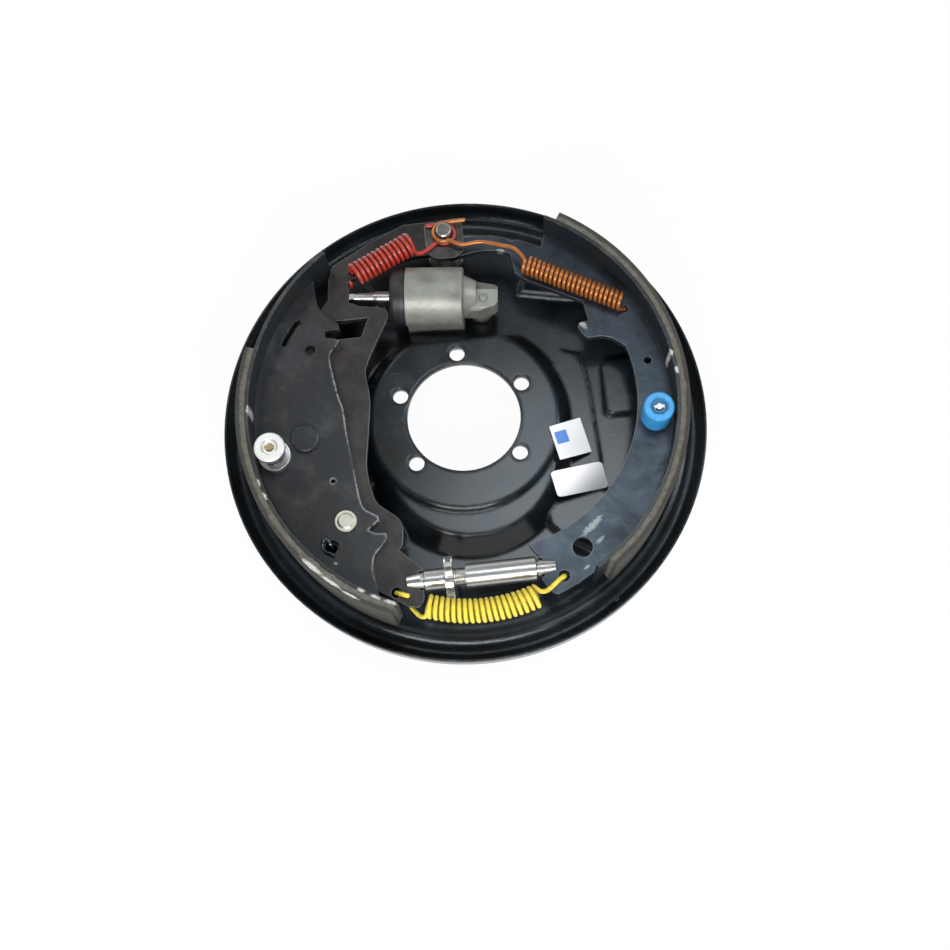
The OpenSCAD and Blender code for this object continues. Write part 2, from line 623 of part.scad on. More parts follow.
arm_top = [[seat_gap_x, 112.5], [10, 114], [22.8, 116], [34.8, 115.3], [45.1, 111.7]];
arm_hook = [[91, 69.5], [93, 56], [92, 54.2], [87.5, 53.6], [85.6, 51.6], [86, 48.5], [89.2, 43.4],
            [93, 41.6], [99.7, 42], [108, 39.4], [115.7, 33], [125, 28]];
arm_edge = concat(curve(arm_top, 3), [[46.8, 96], [53, 90.5]], curve(arm_hook, 2),
                  [[150, 30], [150, 150], [77, 137.3], [67, 114], [53.3, 121], [33.3, 127.3], [20, 128],
                  [seat_gap_x, 128]]);
tail_nose = [[39.5, -adjuster_y - fork_half], [40, -125], [46, -133], [60, -136]];
tail_edge = concat([[150, 40], [110, 32], [60, -20], [30, -92]],
                   curve([[30, -92], [34, -100.5], [38, -106], [39, -adjuster_y + fork_half]], 3),
                   [[fork_seat_x, -adjuster_y + fork_half], [fork_seat_x, -adjuster_y - fork_half]],
                   curve(tail_nose, 3), [[80, -150], [160, -140]]);

module secondary_web() {
    pin_play = 5;
    color("#4a5058") difference() {
        intersection() {
            translate([0, 0, web_z]) cylinder(h = web_t, r = table_in, $fn = 128);
            translate([0, 0, web_z]) linear_extrude(height = web_t) union() {
                polygon(arm_edge);
                difference() {
                    polygon(tail_edge);
                    translate(web_arc_c) circle(r = web_arc_r, $fn = 160);
                }
            }
        }
        translate([0, anchor_y, web_z - 1]) cylinder(h = web_t + 2, r = anchor_r + gap, $fn = 48);
        translate([hold_x, hold_y, web_z - 1])
            cylinder(h = web_t + 2, r = hold_pin_r + pin_play, $fn = 32);
        translate([68.2, -104.7, web_z - 1]) cylinder(h = web_t + 2, r = 6.7, $fn = 48);
        translate([129.6, 20.4, web_z - 1]) cylinder(h = web_t + 2, r = 2.7, $fn = 32);
        translate([copper_hole[0], copper_hole[1], web_z - 1])
            cylinder(h = web_t + 2, r = copper_wire_r + 0.9, $fn = 24);
        translate([yellow_right[0], yellow_right[1], web_z - 1])
            cylinder(h = web_t + 2, r = yellow_wire_r + 2.3, $fn = 32);
        translate([47.5, 124, web_z - 1]) cylinder(h = web_t + 2, r = 3.2, $fn = 24);
    }
}

module secondary_table() {
    color("#33363a") band(table_in, table_t, lining_z, lining_w, secondary_table_a, 160);
}

module secondary_lining() {
    color("#8a8778") band(table_r, lining_t, lining_z, lining_w, secondary_lining_a, 160);
}

// Return springs, each hooked round the anchor post and into its shoe
post_c = [0, anchor_y];
red_r = 7;
red_z = web_top + gap + red_r + red_wire_r + 1;
red_a = [-64.6, 103.6, red_z];
red_b = [-24.4, 122.5, red_z];
red_loop_r = anchor_top_r + red_wire_r + gap;

function loop_points(r, a0, a1, n, z) = raised(arc(post_c, r, a0, a1, n), z);

module primary_return_spring() {
    body = coil(red_a, red_b, red_r, red_turns - 0.75, 12, 180, 0);
    first = body[0];
    last = body[len(body) - 1];
    hole = [red_hole[0], red_hole[1], 0];
    left = curve([[-68.4, 100.6, web_top + 4], [-68.9, 101.1, web_mid], [-69.2, 102.6, web_z - 2.2],
                  [-68.4, 106.6, web_z - 2.6], hole + [0, -0.4, web_z + 0.4], hole + [0, 0, web_top + 1],
                  first - [0, 0, 3], first], 3);
    right = curve([last, last + [1.9, -2.6, -0.8], [-22.6, 117.2, red_z + 0.6], [-19.2, 116.2, hook_z + 1.8],
                   [-14.4, 118, hook_z + 0.4], loop_points(red_loop_r, -132, -120, 1, hook_z)[0]], 3);
    loop = loop_points(red_loop_r, -132, 78, 14, hook_z);
    tip = [[-1.5, anchor_y + red_loop_r + 0.3, hook_z], [-7, anchor_y + red_loop_r + 0.5, hook_z],
           [-11.5, anchor_y + red_loop_r + 0.5, hook_z]];
    color("#b4483a") wire(concat([for (i = [0:len(left) - 2]) left[i]], body,
        [for (i = [1:len(right) - 2]) right[i]], loop, tip), red_wire_r, 8);
}

copper_r = 5.6;
copper_z = web_top + gap + copper_r + copper_wire_r + 0.4;
copper_a = [54.1, 98.4, copper_z];
copper_b = [116.6, 62.7, copper_z];
copper_loop_r = anchor_top_r + copper_wire_r + gap;

module secondary_return_spring() {
    body = coil(copper_a, copper_b, copper_r, copper_turns + 0.3, 10, 270, 0);
    first = body[0];
    last = body[len(body) - 1];
    hole = [copper_hole[0], copper_hole[1], 0];
    loop = loop_points(copper_loop_r, 100, 294, 14, second_hook_z);
    tip = [[15.5, anchor_y + copper_loop_r + 0.5, second_hook_z],
           [9, anchor_y + copper_loop_r + 0.4, second_hook_z],
           [3, anchor_y + copper_loop_r + 0.2, second_hook_z]];
    left = curve([loop[len(loop) - 1], [11.8, 118.6, second_hook_z + 0.4], [24.8, 118.6, copper_z + 1],
                  [38, 113.6, copper_z + 3], [46.6, 109.6, copper_z + 4.6], [51.4, 104, copper_z + 5.4],
                  first], 4);
    right = curve([last, last + [0.8, -0.2, -3], [117.4, 59.2, web_top + 2.4],
                   hole + [0, 0, web_top], hole + [0, 0, web_z - 3]], 3);
    color("#b8743c") wire(concat(tip, loop, [for (i = [1:len(left) - 2]) left[i]], body,
        [for (i = [1:len(right) - 1]) right[i]]), copper_wire_r, 6);
}

yellow_r = 6.5;
yellow_z = web_top + gap + yellow_r + yellow_wire_r + 0.4;
yellow_a = [-36.6, -133.8, yellow_z];
yellow_b = [34.6, -135, yellow_z];

module adjuster_spring() {
    body = coil(yellow_a, yellow_b, yellow_r, yellow_turns + 0.25, 12, 90, 6.2);
    first = body[0];
    last = body[len(body) - 1];
    lh = [yellow_left[0], yellow_left[1], 0];
    rh = [yellow_right[0], yellow_right[1], 0];
    left = curve([[-48.6, -124.6, web_top + 2], [-53.6, -122.8, web_top + 1.9],
                  lh + [0, 0, web_top - 0.8], lh + [0, 0, web_z + 0.5], lh + [1.4, -0.6, web_z - 2.2],
                  [-49, -129, web_z - 2.4], [-43, -137, web_z - 0.4],
                  [-38.6, -138.6, web_top], first - [0.3, 2.6, 0.1], first], 3);
    right = curve([last, last + [1.4, -0.9, 1.6], [36.9, -132, yellow_z - 2.2], [42, -130.8, web_top + 2.4],
                   [50.4, -124.8, web_top + 1.9], rh + [0, 0, web_top - 0.6], rh + [0, 0, web_z - 2.6]], 3);
    color("#d9b93f") wire(concat([for (i = [0:len(left) - 2]) left[i]], body,
        [for (i = [1:len(right) - 1]) right[i]]), yellow_wire_r, 8);
}

// Star wheel adjuster between the lever and the secondary web
socket_x = [-37.2, -23.9];
star_x = -23.6;
star_w = 5.2;
sleeve_x = [-10, 36.6];
collar_r = 5.9;
fork_tip_r = 4.5;
fork_slot = web_t + 2 * gap;

module adjuster_frame() {
    translate([0, -adjuster_y, web_mid]) children();
}

// Tapered round end, split by a slot that takes the web
module fork(x0, x1, seat) {
    low = min(x0, x1);
    r0 = x1 > x0 ? collar_r : fork_tip_r;
    r1 = x1 > x0 ? fork_tip_r : collar_r;
    difference() {
        along_x(low, abs(x1 - x0), r0, r1);
        translate([x1 > x0 ? seat : low - 1, -collar_r - 1, -fork_slot / 2])
            cube([abs(x1 - seat) + 1, 2 * collar_r + 2, fork_slot]);
    }
}

module adjuster_socket() {
    color("#cfd1d0") adjuster_frame() difference() {
        union() {
            along_x(socket_x[0], socket_x[1] - socket_x[0], 7.2, 7.2);
            along_x(-38, 1, 5, 5);
            along_x(-39.9, 2.1, collar_r, collar_r);
            fork(-39.8, -49, -fork_seat_x + gap);
        }
        along_x(socket_x[1] - 11, 12, 3.2, 3.2);
    }
}

module thrust_washer() {
    color("#b9bbbc") adjuster_frame() difference() {
        along_x(socket_x[1] + 0.02, 0.26, 6.6, 6.6);
        along_x(socket_x[1] - 1, 3, 3.2, 3.2);
    }
}

module star_screw() {
    color("#d8dad9") adjuster_frame() {
        along_x(socket_x[1] - 10.6, 10.9, 3.2 - fit, 3.2 - fit);
        along_x(star_x, star_w, 10, 10);
        for (k = [0:star_teeth - 1]) rotate([360 * k / star_teeth, 0, 0])
            translate([star_x, -1.7, 8]) cube([star_w, 3.4, star_r - 8]);
        along_x(star_x + star_w, sleeve_x[1] - star_x - star_w - 10, screw_r, screw_r);
    }
}

module adjuster_sleeve() {
    color("#d2d4d3") adjuster_frame() difference() {
        union() {
            along_x(sleeve_x[0], sleeve_x[1] - sleeve_x[0] - 0.8, sleeve_r, sleeve_r);
            along_x(sleeve_x[1] - 0.8, 0.8, sleeve_r, sleeve_r - 0.8);
            along_x(sleeve_x[1] - 0.1, 1.3, 5, 5);
            fork(sleeve_x[1] + 1.1, 48.8, fork_seat_x - gap);
        }
        along_x(sleeve_x[0] - 1, sleeve_x[1] - sleeve_x[0] - 7, screw_r + fit, screw_r + fit);
    }
}

// Hold-downs: a headed pin through the plate, a seat, a spring and a pressed cup on each side
primary_hold_h = 21.4;
secondary_hold_h = 21.3;

module hold_pin(x, top_z) {
    tip_z = top_z + 1.4;
    translate([x, hold_y, 0]) {
        translate([0, 0, rear_z - 1.6]) cylinder(h = 1.6, r = 6, $fn = 32);
        translate([0, 0, rear_z]) cylinder(h = tip_z - rear_z, r = hold_pin_r, $fn = 24);
        translate([-3.4, -1.1, tip_z - 1.3]) cube([6.8, 2.2, 1.3]);
    }
}

module hold_seat(x, z, r) {
    translate([x, hold_y, z]) difference() {
        cylinder(h = 2.6, r = r, $fn = 48);
        translate([0, 0, -1]) cylinder(h = 5, r = hold_pin_r + 1, $fn = 24);
        translate([0, 0, 1.2]) cylinder(h = 3, r = r - 1.1, $fn = 48);
    }
}

module hold_spring(x, z0, z1) {
    r = cup_r - 3.4;
    wire_r = 0.8;
    turns = 4;
    steps = 12;
    low = z0 + wire_r + 0.05;
    high = z1 - wire_r - 0.05;
    points = [for (i = [0:turns * steps])
        let (s = i / (turns * steps), q = 360 * turns * s)
        [x + r * cos(q), hold_y + r * sin(q), low + (high - low) * min(1, max(0, (s - 0.15) / 0.7))]];
    wire(points, wire_r, 6);
}

module hold_cup(x, z0, z1, skirt) {
    wall = 1.1;
    dish = 1.6;
    translate([x, hold_y, 0]) difference() {
        union() {
            translate([0, 0, z1 - skirt]) cylinder(h = skirt - 1, r = cup_r, $fn = 48);
            translate([0, 0, z1 - 1]) cylinder(h = 1, r1 = cup_r, r2 = cup_r - 0.9, $fn = 48);
        }
        translate([0, 0, z1 - skirt - 1]) cylinder(h = skirt - wall - dish + 1, r = cup_r - wall, $fn = 48);
        translate([0, 0, z1 - dish]) cylinder(h = dish + 1, r1 = 4.6, r2 = 6.4, $fn = 40);
        translate([0, 0, z0]) cylinder(h = z1 - z0 + 1, r = hold_pin_r + 0.5, $fn = 24);
    }
}

primary_base = front_top + gap;
primary_cap = primary_base + primary_hold_h;
secondary_base = web_top + gap;
secondary_cap = secondary_base + secondary_hold_h;
cup_floor = 2.7;

module primary_hold_pin() {
    color("#c8a964") hold_pin(-hold_x, primary_cap - 1.6);
}

module primary_hold_seat() {
    color("#e4e5e0") hold_seat(-hold_x, primary_base, cup_r + 0.6);
}

module primary_hold_spring() {
    color("#b7bcc4") hold_spring(-hold_x, primary_base + 1.2, primary_cap - cup_floor);
}

module primary_hold_cup() {
    color("#e2e4e6") hold_cup(-hold_x, primary_base, primary_cap, 4.4);
}

module secondary_hold_pin() {
    color("#e8e6df") hold_pin(hold_x, secondary_cap - 1.6);
}

module secondary_hold_seat() {
    color("#2f7fc4") hold_seat(hold_x, secondary_base, cup_r);
}

module secondary_hold_spring() {
    color("#9ba0a6") hold_spring(hold_x, secondary_base + 1.2, secondary_cap - cup_floor);
}

module secondary_hold_cup() {
    color("#3b93dc") hold_cup(hold_x, secondary_base, secondary_cap, secondary_hold_h - 2.9);
}

module adjusting_slot_plug() {
    color("#222324") {
        slot_shape(-0.15, rear_z, plate_t);
        slot_shape(2, rear_z - 1.8, 1.8);
    }
}

backing_plate();
anchor_post();
guide_plate();
cylinder_body();
cylinder_bolts();
cylinder_boot();
piston();
piston_seal();
piston_spring();
push_rod();
bleeder_screw();
bleeder_cap();
free_backing_lever();
pivot_pin();
stop_rivet();
pivot_clip();
primary_web();
primary_table();
primary_lining();
secondary_web();
secondary_table();
secondary_lining();
primary_return_spring();
secondary_return_spring();
adjuster_spring();
adjuster_socket();
thrust_washer();
star_screw();
adjuster_sleeve();
primary_hold_pin();
primary_hold_seat();
primary_hold_spring();
primary_hold_cup();
secondary_hold_pin();
secondary_hold_seat();
secondary_hold_spring();
secondary_hold_cup();
adjusting_slot_plug();
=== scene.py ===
"""Looks of a trailer drum brake assembly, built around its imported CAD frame."""

from __future__ import annotations

import logging
import math
from abc import ABC, abstractmethod
from dataclasses import dataclass
from enum import Enum
from functools import reduce
from typing import ClassVar, Mapping, Sequence

import bpy
from mathutils import Matrix, Vector


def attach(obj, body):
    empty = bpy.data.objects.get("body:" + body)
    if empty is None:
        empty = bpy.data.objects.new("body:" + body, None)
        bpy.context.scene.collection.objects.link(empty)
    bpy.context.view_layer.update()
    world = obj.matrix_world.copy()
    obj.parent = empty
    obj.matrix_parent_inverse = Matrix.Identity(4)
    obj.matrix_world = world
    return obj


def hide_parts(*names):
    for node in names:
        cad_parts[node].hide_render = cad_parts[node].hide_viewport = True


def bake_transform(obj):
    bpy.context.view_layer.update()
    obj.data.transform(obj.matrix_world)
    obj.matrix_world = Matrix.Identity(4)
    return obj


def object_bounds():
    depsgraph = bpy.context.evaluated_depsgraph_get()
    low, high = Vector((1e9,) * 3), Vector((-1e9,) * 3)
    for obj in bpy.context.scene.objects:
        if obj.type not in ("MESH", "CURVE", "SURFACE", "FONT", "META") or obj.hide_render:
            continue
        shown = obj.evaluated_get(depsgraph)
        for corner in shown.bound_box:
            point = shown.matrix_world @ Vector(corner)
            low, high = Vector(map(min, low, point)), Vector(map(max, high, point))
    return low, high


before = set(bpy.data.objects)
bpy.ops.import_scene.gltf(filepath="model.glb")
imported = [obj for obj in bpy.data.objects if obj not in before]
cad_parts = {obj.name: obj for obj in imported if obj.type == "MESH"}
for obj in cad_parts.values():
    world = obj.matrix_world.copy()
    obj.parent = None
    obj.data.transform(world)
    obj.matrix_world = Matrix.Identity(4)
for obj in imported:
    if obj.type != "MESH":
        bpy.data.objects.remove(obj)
CAD_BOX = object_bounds()

log = logging.getLogger("brake_scene")

MM = 0.001
Colour = tuple[float, float, float]
Point = tuple[float, float, float]
Marks = tuple[tuple[float, float, float, float], ...]
Corners = tuple[tuple[float, float], ...]

# How a swept wire's end is rounded: distance outward and radius, as shares of the wire's radius
WIRE_CAP = ((0.3, 0.87), (0.51, 0.5))


class Port:
    """One output socket of a shader node, so that shader maths reads as Python."""

    def __init__(self, graph: "Graph", socket: bpy.types.NodeSocket) -> None:
        """Keep the socket and the graph it belongs to.

        Args:
            graph: The node graph that new nodes are added to.
            socket: The output socket this port stands for.
        """
        self.graph = graph
        self.socket = socket

    def _math(self, operation: str, first: "Port | float", second: "Port | float") -> "Port":
        """Add one Math node.

        Args:
            operation: Name of the Math node's operation.
            first: First operand.
            second: Second operand.

        Returns:
            The result as a port.
        """
        return self.graph.node("ShaderNodeMath", {"operation": operation}, {0: first, 1: second})

    def __add__(self, other: "Port | float") -> "Port":
        """Sum."""
        return self._math("ADD", self, other)

    def __radd__(self, other: float) -> "Port":
        """Sum, reflected."""
        return self._math("ADD", other, self)

    def __sub__(self, other: "Port | float") -> "Port":
        """Difference."""
        return self._math("SUBTRACT", self, other)

    def __rsub__(self, other: float) -> "Port":
        """Difference, reflected."""
        return self._math("SUBTRACT", other, self)

    def __mul__(self, other: "Port | float") -> "Port":
        """Product."""
        return self._math("MULTIPLY", self, other)

    def __rmul__(self, other: float) -> "Port":
        """Product, reflected."""
        return self._math("MULTIPLY", other, self)

    def __truediv__(self, other: "Port | float") -> "Port":
        """Quotient."""
        return self._math("DIVIDE", self, other)

    def __rtruediv__(self, other: float) -> "Port":
        """Quotient, reflected."""
        return self._math("DIVIDE", other, self)

    def __pow__(self, other: "Port | float") -> "Port":
        """Power."""
        return self._math("POWER", self, other)

    def above(self, edge: "Port | float", soft: float = 0.0) -> "Port":
        """Mask of where this value is over an edge.

        Args:
            edge: The value at which the mask starts.
            soft: Width of the ramp from 0 to 1; 0 gives a hard step.

        Returns:
            A mask from 0 to 1.
        """
        if soft <= 0:
            return self._math("GREATER_THAN", self, edge)
        return ((self - edge) / soft).clamp()

    def below(self, edge: "Port | float", soft: float = 0.0) -> "Port":
        """Mask of where this value is under an edge, the reverse of above."""
        return 1 - self.above(edge, soft)

    def clamp(self) -> "Port":
        """Value held between 0 and 1."""
        return self.graph.node("ShaderNodeClamp", {}, {"Value": self})

    def highest(self, other: "Port | float") -> "Port":
        """Larger of two values."""
        return self._math("MAXIMUM", self, other)


class Graph:
    """Node graph of a material or the world, with one method that adds any node."""

    def __init__(self, owner: bpy.types.Material | bpy.types.World) -> None:
        """Start from the owner's own shader.

        Args:
            owner: A material or world that uses nodes.
        """
        self.tree = owner.node_tree
        self.shader = next(n for n in self.tree.nodes
                           if n.type in ("BSDF_PRINCIPLED", "BACKGROUND"))
        self.output = next(n for n in self.tree.nodes if n.type.startswith("OUTPUT"))

    def node(self, kind: str, settings: Mapping[str, object] | None = None,
             inputs: Mapping[int | str, object] | None = None,
             output: int | str = 0) -> Port:
        """Add a node, set it up and feed its sockets.

        Args:
            kind: Blender's node type name.
            settings: Properties of the node, such as its operation, set first.
            inputs: Values or ports by socket name or number.
            output: Name or number of the output that is wanted.

        Returns:
            That output as a port.
        """
        made = self.tree.nodes.new(kind)
        for name, value in (settings or {}).items():
            setattr(made, name, value)
        for key, value in (inputs or {}).items():
            if isinstance(value, Port):
                self.tree.links.new(value.socket, made.inputs[key])
            elif value is not None:
                made.inputs[key].default_value = value
        return Port(self, made.outputs[output])

    def place(self) -> Port:
        """Position on the object in the row frame, in metres."""
        return self.node("ShaderNodeTexCoord", output="Object")

    def stretched(self, scale: Sequence[float], turn: Sequence[float] = (0, 0, 0)) -> Port:
        """Position with each axis scaled, for grain that runs one way.

        Args:
            scale: Factor for each axis.
            turn: Rotation before the scaling, in radians.

        Returns:
            The mapped position.
        """
        return self.node(
            "ShaderNodeMapping", {},
            {"Vector": self.place(), "Scale": tuple(scale), "Rotation": tuple(turn)})

    def grain(self, per_metre: float, detail: float = 3.0, rough: float = 0.5,
              vector: Port | None = None, warp: float = 0.0) -> Port:
        """Smooth random grain.

        Args:
            per_metre: How many blobs fit in a metre.
            detail: Octaves of finer grain.
            rough: Share of the finer octaves.
            vector: Where to read it; the object position by default.
            warp: Distortion of the pattern.

        Returns:
            Values around 0.5.
        """
        return self.node(
            "ShaderNodeTexNoise", {},
            {"Vector": vector or self.place(), "Scale": per_metre, "Detail": detail,
             "Roughness": rough, "Distortion": warp})

    def cells(self, per_metre: float) -> Port:
        """Distance to the nearest of many scattered points, 0 at a cell's middle.

        Args:
            per_metre: How many cells fit in a metre.

        Returns:
            The distance.
        """
        return self.node("ShaderNodeTexVoronoi", {},
                         {"Vector": self.place(), "Scale": per_metre})

    def mix(self, factor: Port | float, low: Port | Colour, high: Port | Colour) -> Port:
        """Blend two colours.

        Args:
            factor: 0 gives the first colour, 1 the second.
            low: First colour.
            high: Second colour.

        Returns:
            The blended colour.
        """
        node = self.tree.nodes.new("ShaderNodeMix")
        node.data_type = "RGBA"
        for key, value in ((0, factor), (6, low), (7, high)):
            if isinstance(value, Port):
                self.tree.links.new(value.socket, node.inputs[key])
            elif isinstance(value, tuple):
                node.inputs[key].default_value = (*value, 1.0)
            else:
                node.inputs[key].default_value = value
        return Port(self, node.outputs[2])

    def edges(self, radius: float) -> Port:
        """Mask of sharp outer and inner edges, from rounded against true normals.

        Args:
            radius: Reach of the mask from the edge, in metres.

        Returns:
            0 on flats, towards 1 at edges.
        """
        soft = self.node("ShaderNodeBevel", {"samples": 4}, {"Radius": radius})
        true = self.node("ShaderNodeNewGeometry", output="Normal")
        meet = self.node("ShaderNodeVectorMath", {"operation": "DOT_PRODUCT"},
                         {0: soft, 1: true}, "Value")
        return ((1 - meet) * 6.0).clamp()

    def shelter(self, reach: float) -> Port:
        """Openness of the surface to its surroundings.

        Args:
            reach: Distance that counts, in metres.

        Returns:
            1 in the open, towards 0 in nooks.
        """
        return self.node("ShaderNodeAmbientOcclusion", {"samples": 4},
                         {"Distance": reach}, "AO")

    def offset(self, centre: Point) -> Port:
        """Vector from a point, in metres, to the place on the object."""
        return self.node("ShaderNodeVectorMath", {"operation": "SUBTRACT"},
                         {0: self.place(), 1: centre})

    def away(self, centre: Point = (0.0, 0.0, 0.0), axes: Point = (1.0, 1.0, 0.0)) -> Port:
        """Distance from a line that runs along one axis.

        Args:
            centre: A point on the line, in metres.
            axes: 1 for the two axes that count, 0 for the line's own.

        Returns:
            The distance in metres; from the axle's axis by default.
        """
        flat = self.node("ShaderNodeVectorMath", {"operation": "MULTIPLY"},
                         {0: self.offset(centre), 1: axes})
        return self.node("ShaderNodeVectorMath", {"operation": "LENGTH"}, {0: flat}, "Value")

    def facing_up(self) -> Port:
        """How far the surface looks up the row's Z axis, from -1 to 1."""
        normal = self.node("ShaderNodeNewGeometry", output="Normal")
        return self.node("ShaderNodeSeparateXYZ", {}, {"Vector": normal}, "Z")

    def spots(self, marks: Marks, ragged: float = 0.8) -> Port:
        """Mask of ragged marks at stated places, seen along the row's Z axis.

        Args:
            marks: One or more; middle x and y, half length and half width of each, in
                millimetres, with the long side on the circle round the axle.
            ragged: How far noise eats into the marks.

        Returns:
            1 inside the marks.
        """
        torn = (self.grain(420, 4, 0.7) - 0.5) * (4.0 * ragged)
        masks: list[Port] = []
        for x, y, long, wide in marks:
            far = math.hypot(x, y)
            shifted = self.offset((x * MM, y * MM, 0.0))
            across, along = (
                self.node("ShaderNodeVectorMath", {"operation": "DOT_PRODUCT"},
                          {0: shifted, 1: way}, "Value")
                for way in ((x / far, y / far, 0.0), (-y / far, x / far, 0.0)))
            reach = (across / (wide * MM)) ** 2.0 + (along / (long * MM)) ** 2.0
            masks.append((1.2 - reach + torn).clamp())
        return reduce(Port.highest, masks)

    def relief(self, height: Port, depth: float, strength: float = 1.0,
               round_edges: float = 0.0) -> Port:
        """Surface normal for a height pattern.

        Args:
            height: The pattern, 0 to 1.
            depth: Real height of the pattern, in metres.
            strength: Share of the effect.
            round_edges: Radius that softens the solid's edges, in metres; 0 leaves them.

        Returns:
            The normal to feed to the shader.
        """
        feed: dict[int | str, object] = {
            "Height": height, "Distance": depth, "Strength": strength}
        if round_edges > 0:
            feed["Normal"] = self.node("ShaderNodeBevel", {"samples": 6}, {"Radius": round_edges})
        return self.node("ShaderNodeBump", {}, feed)

    def finish(self, **values: Port | float | Colour) -> None:
        """Feed the Principled shader, or the world's Background.

        Args:
            **values: Socket names with underscores for spaces, and what they get.
        """
        for name, value in values.items():
            socket = self.shader.inputs[name.replace("_", " ").title().replace("Ior", "IOR")]
            if isinstance(value, Port):
                self.tree.links.new(value.socket, socket)
            elif isinstance(value, tuple):
                socket.default_value = (*value, 1.0) if len(value) == 3 else value
            else:
                socket.default_value = value


@dataclass(frozen=True)
class Finish(ABC):
    """A surface finish that can be put on any piece."""

    name: str
    colour: Colour

    def material(self) -> bpy.types.Material:
        """Build the material, or find the one already built.

        Returns:
            The material.
        """
        known = bpy.data.materials.get(self.name)
        if known is not None and known.get("brake_finish"):
            return known
        made = bpy.data.materials.new(self.name)
        made.use_nodes = True
        made["brake_finish"] = True
        self.draw(Graph(made))
        return made

    def tint(self, share: float) -> Colour:
        """The finish's own colour, darker below 1 and paler above."""
        return tuple(min(1.0, c * share) for c in self.colour)

    @abstractmethod
    def draw(self, g: Graph) -> None:
        """Lay out the nodes of this finish.

        Args:
            g: The graph of the new material.
        """

    def put_on(self, *pieces: bpy.types.Object) -> None:
        """Give pieces this finish as their only material.

        Args:
            *pieces: Mesh or curve objects.
        """
        made = self.material()
        for piece in pieces:
            piece.data.materials.clear()
            piece.data.materials.append(made)
            for polygon in getattr(piece.data, "polygons", []):
                polygon.material_index = 0


@dataclass(frozen=True)
class DipPaint(Finish):
    """Thick dipped paint with orange peel, handling dust, scuffs, worn edges and pale bands along
    listed edges, which on the plate are painted highlights.
    """

    gloss: float = 0.28
    dust: float = 0.12
    wear: float = 0.3
    peel: float = 0.00003
    dust_colour: Colour = (0.16, 0.155, 0.14)
    cool: Colour = (0.010, 0.016, 0.022)
    marks: Marks = ()
    # Places of pale bands along edges; on the plate these bands are painted highlights.
    edge_marks: Marks = ()
    mark_colour: Colour = (0.42, 0.45, 0.48)
    soften: float = 0.0009

    def draw(self, g: Graph) -> None:
        """Lay out the nodes of this finish.

        Args:
            g: The graph of the new material.
        """
        cloud = g.grain(26, 4, 0.6)
        peel = g.grain(900, 2, 0.4) * 0.5 + g.grain(240, 2, 0.4) * 0.5
        speck = g.grain(1400, 2, 0.7).above(0.66, 0.06)
        drift = g.grain(60, 5, 0.65).above(0.5, 0.22)
        up = g.facing_up().above(0.2, 0.7)
        dusty = (drift * up * self.dust + speck * up * self.dust * 1.6).clamp()
        lines = g.grain(1.0, 2, 0.5, g.stretched((30, 900, 900), (0, 0, 0.6)))
        cross = g.grain(1.0, 2, 0.5, g.stretched((1100, 34, 900), (0, 0, -0.3)))
        patch = g.grain(16, 3, 0.6).above(0.54, 0.08)
        scuff = lines.above(0.71, 0.03).highest(cross.above(0.72, 0.03)) * up * patch
        worn = (g.edges(0.0007) * g.grain(320, 4, 0.7).above(0.5, 0.1) * self.wear).clamp()
        base = g.mix(cloud.above(0.38, 0.25), self.colour, self.cool)
        base = g.mix(dusty, base, self.dust_colour)
        base = g.mix(scuff * 0.22, base, (0.2, 0.2, 0.2))
        base = g.mix(worn, base, (0.33, 0.32, 0.30))
        rough = self.gloss + cloud * 0.10 + dusty * 0.45 + scuff * 0.15
        mark = g.spots(self.marks)
        # Pale bands along edges at the listed places; on the plate they are painted highlights on
        # its pressed edges.
        if self.edge_marks:
            pale_edge_band = g.edges(0.0026) * g.spots(self.edge_marks, 0.25)
            mark = mark.highest(pale_edge_band * g.grain(260, 3, 0.6).above(0.36, 0.12))
        base = g.mix(mark * 0.85, base, self.mark_colour)
        rough = rough + mark * 0.2
        g.finish(base_color=base, roughness=rough.clamp(), metallic=worn,
                 normal=g.relief(peel, self.peel, 1.0, self.soften))


@dataclass(frozen=True)
class Plate(Finish):
    """Electroplated steel with fine handling marks, dull stains and painted shade in nooks and
    thread grooves.
    """

    roughness: float = 0.22
    stain_and_shade_amount: float = 0.35
    stain_and_shade_colour: Colour = (0.28, 0.25, 0.2)
    grain_axis: Point = (40, 900, 900)
    pitch: float = 0.0
    thread_radius: float = 0.0062
    axis_at: Point = (0.0, -0.115, 0.0178)

    def draw(self, g: Graph) -> None:
        """Lay out the nodes of this finish.

        Args:
            g: The graph of the new material.
        """
        fine = g.grain(1.0, 3, 0.6, g.stretched(self.grain_axis))
        blot = g.grain(170, 5, 0.65).above(0.52, 0.2)
        # Painted shade: a darker brownish colour in nooks, mixed with the random stains.
        nook_shade = 1 - g.shelter(0.003)
        stain_and_shade = ((blot * 0.6 + nook_shade * 0.7) * self.stain_and_shade_amount).clamp()
        base = g.mix(stain_and_shade, self.colour, self.stain_and_shade_colour)
        rough = self.roughness + fine * 0.14 + stain_and_shade * 0.3
        height, depth = fine, 0.00002
        if self.pitch > 0:
            thread = self.thread(g)
            height, depth = fine * 0.05 + thread, 0.0005
            # Painted shade in the thread grooves.
            base = g.mix((1 - thread) * 0.5, base, self.stain_and_shade_colour)
        g.finish(base_color=base, metallic=1.0, roughness=rough.clamp(),
                 normal=g.relief(height, depth, 0.6, 0.0004))

    def thread(self, g: Graph) -> Port:
        """Screw thread along X, on what lies within its radius of the screw's axis.

        Args:
            g: The graph of the material.

        Returns:
            Height of the thread, 0 to 1, and 1 on the rest of the piece.
        """
        away = g.away(self.axis_at, (0.0, 1.0, 1.0))
        along = g.node("ShaderNodeSeparateXYZ", {}, {"Vector": g.offset(self.axis_at)}, "X")
        wave = g.node("ShaderNodeMath", {"operation": "SINE"},
                      {0: along * (2 * math.pi / self.pitch)})
        return (wave * 0.5 + 0.5).highest(away.above(self.thread_radius))


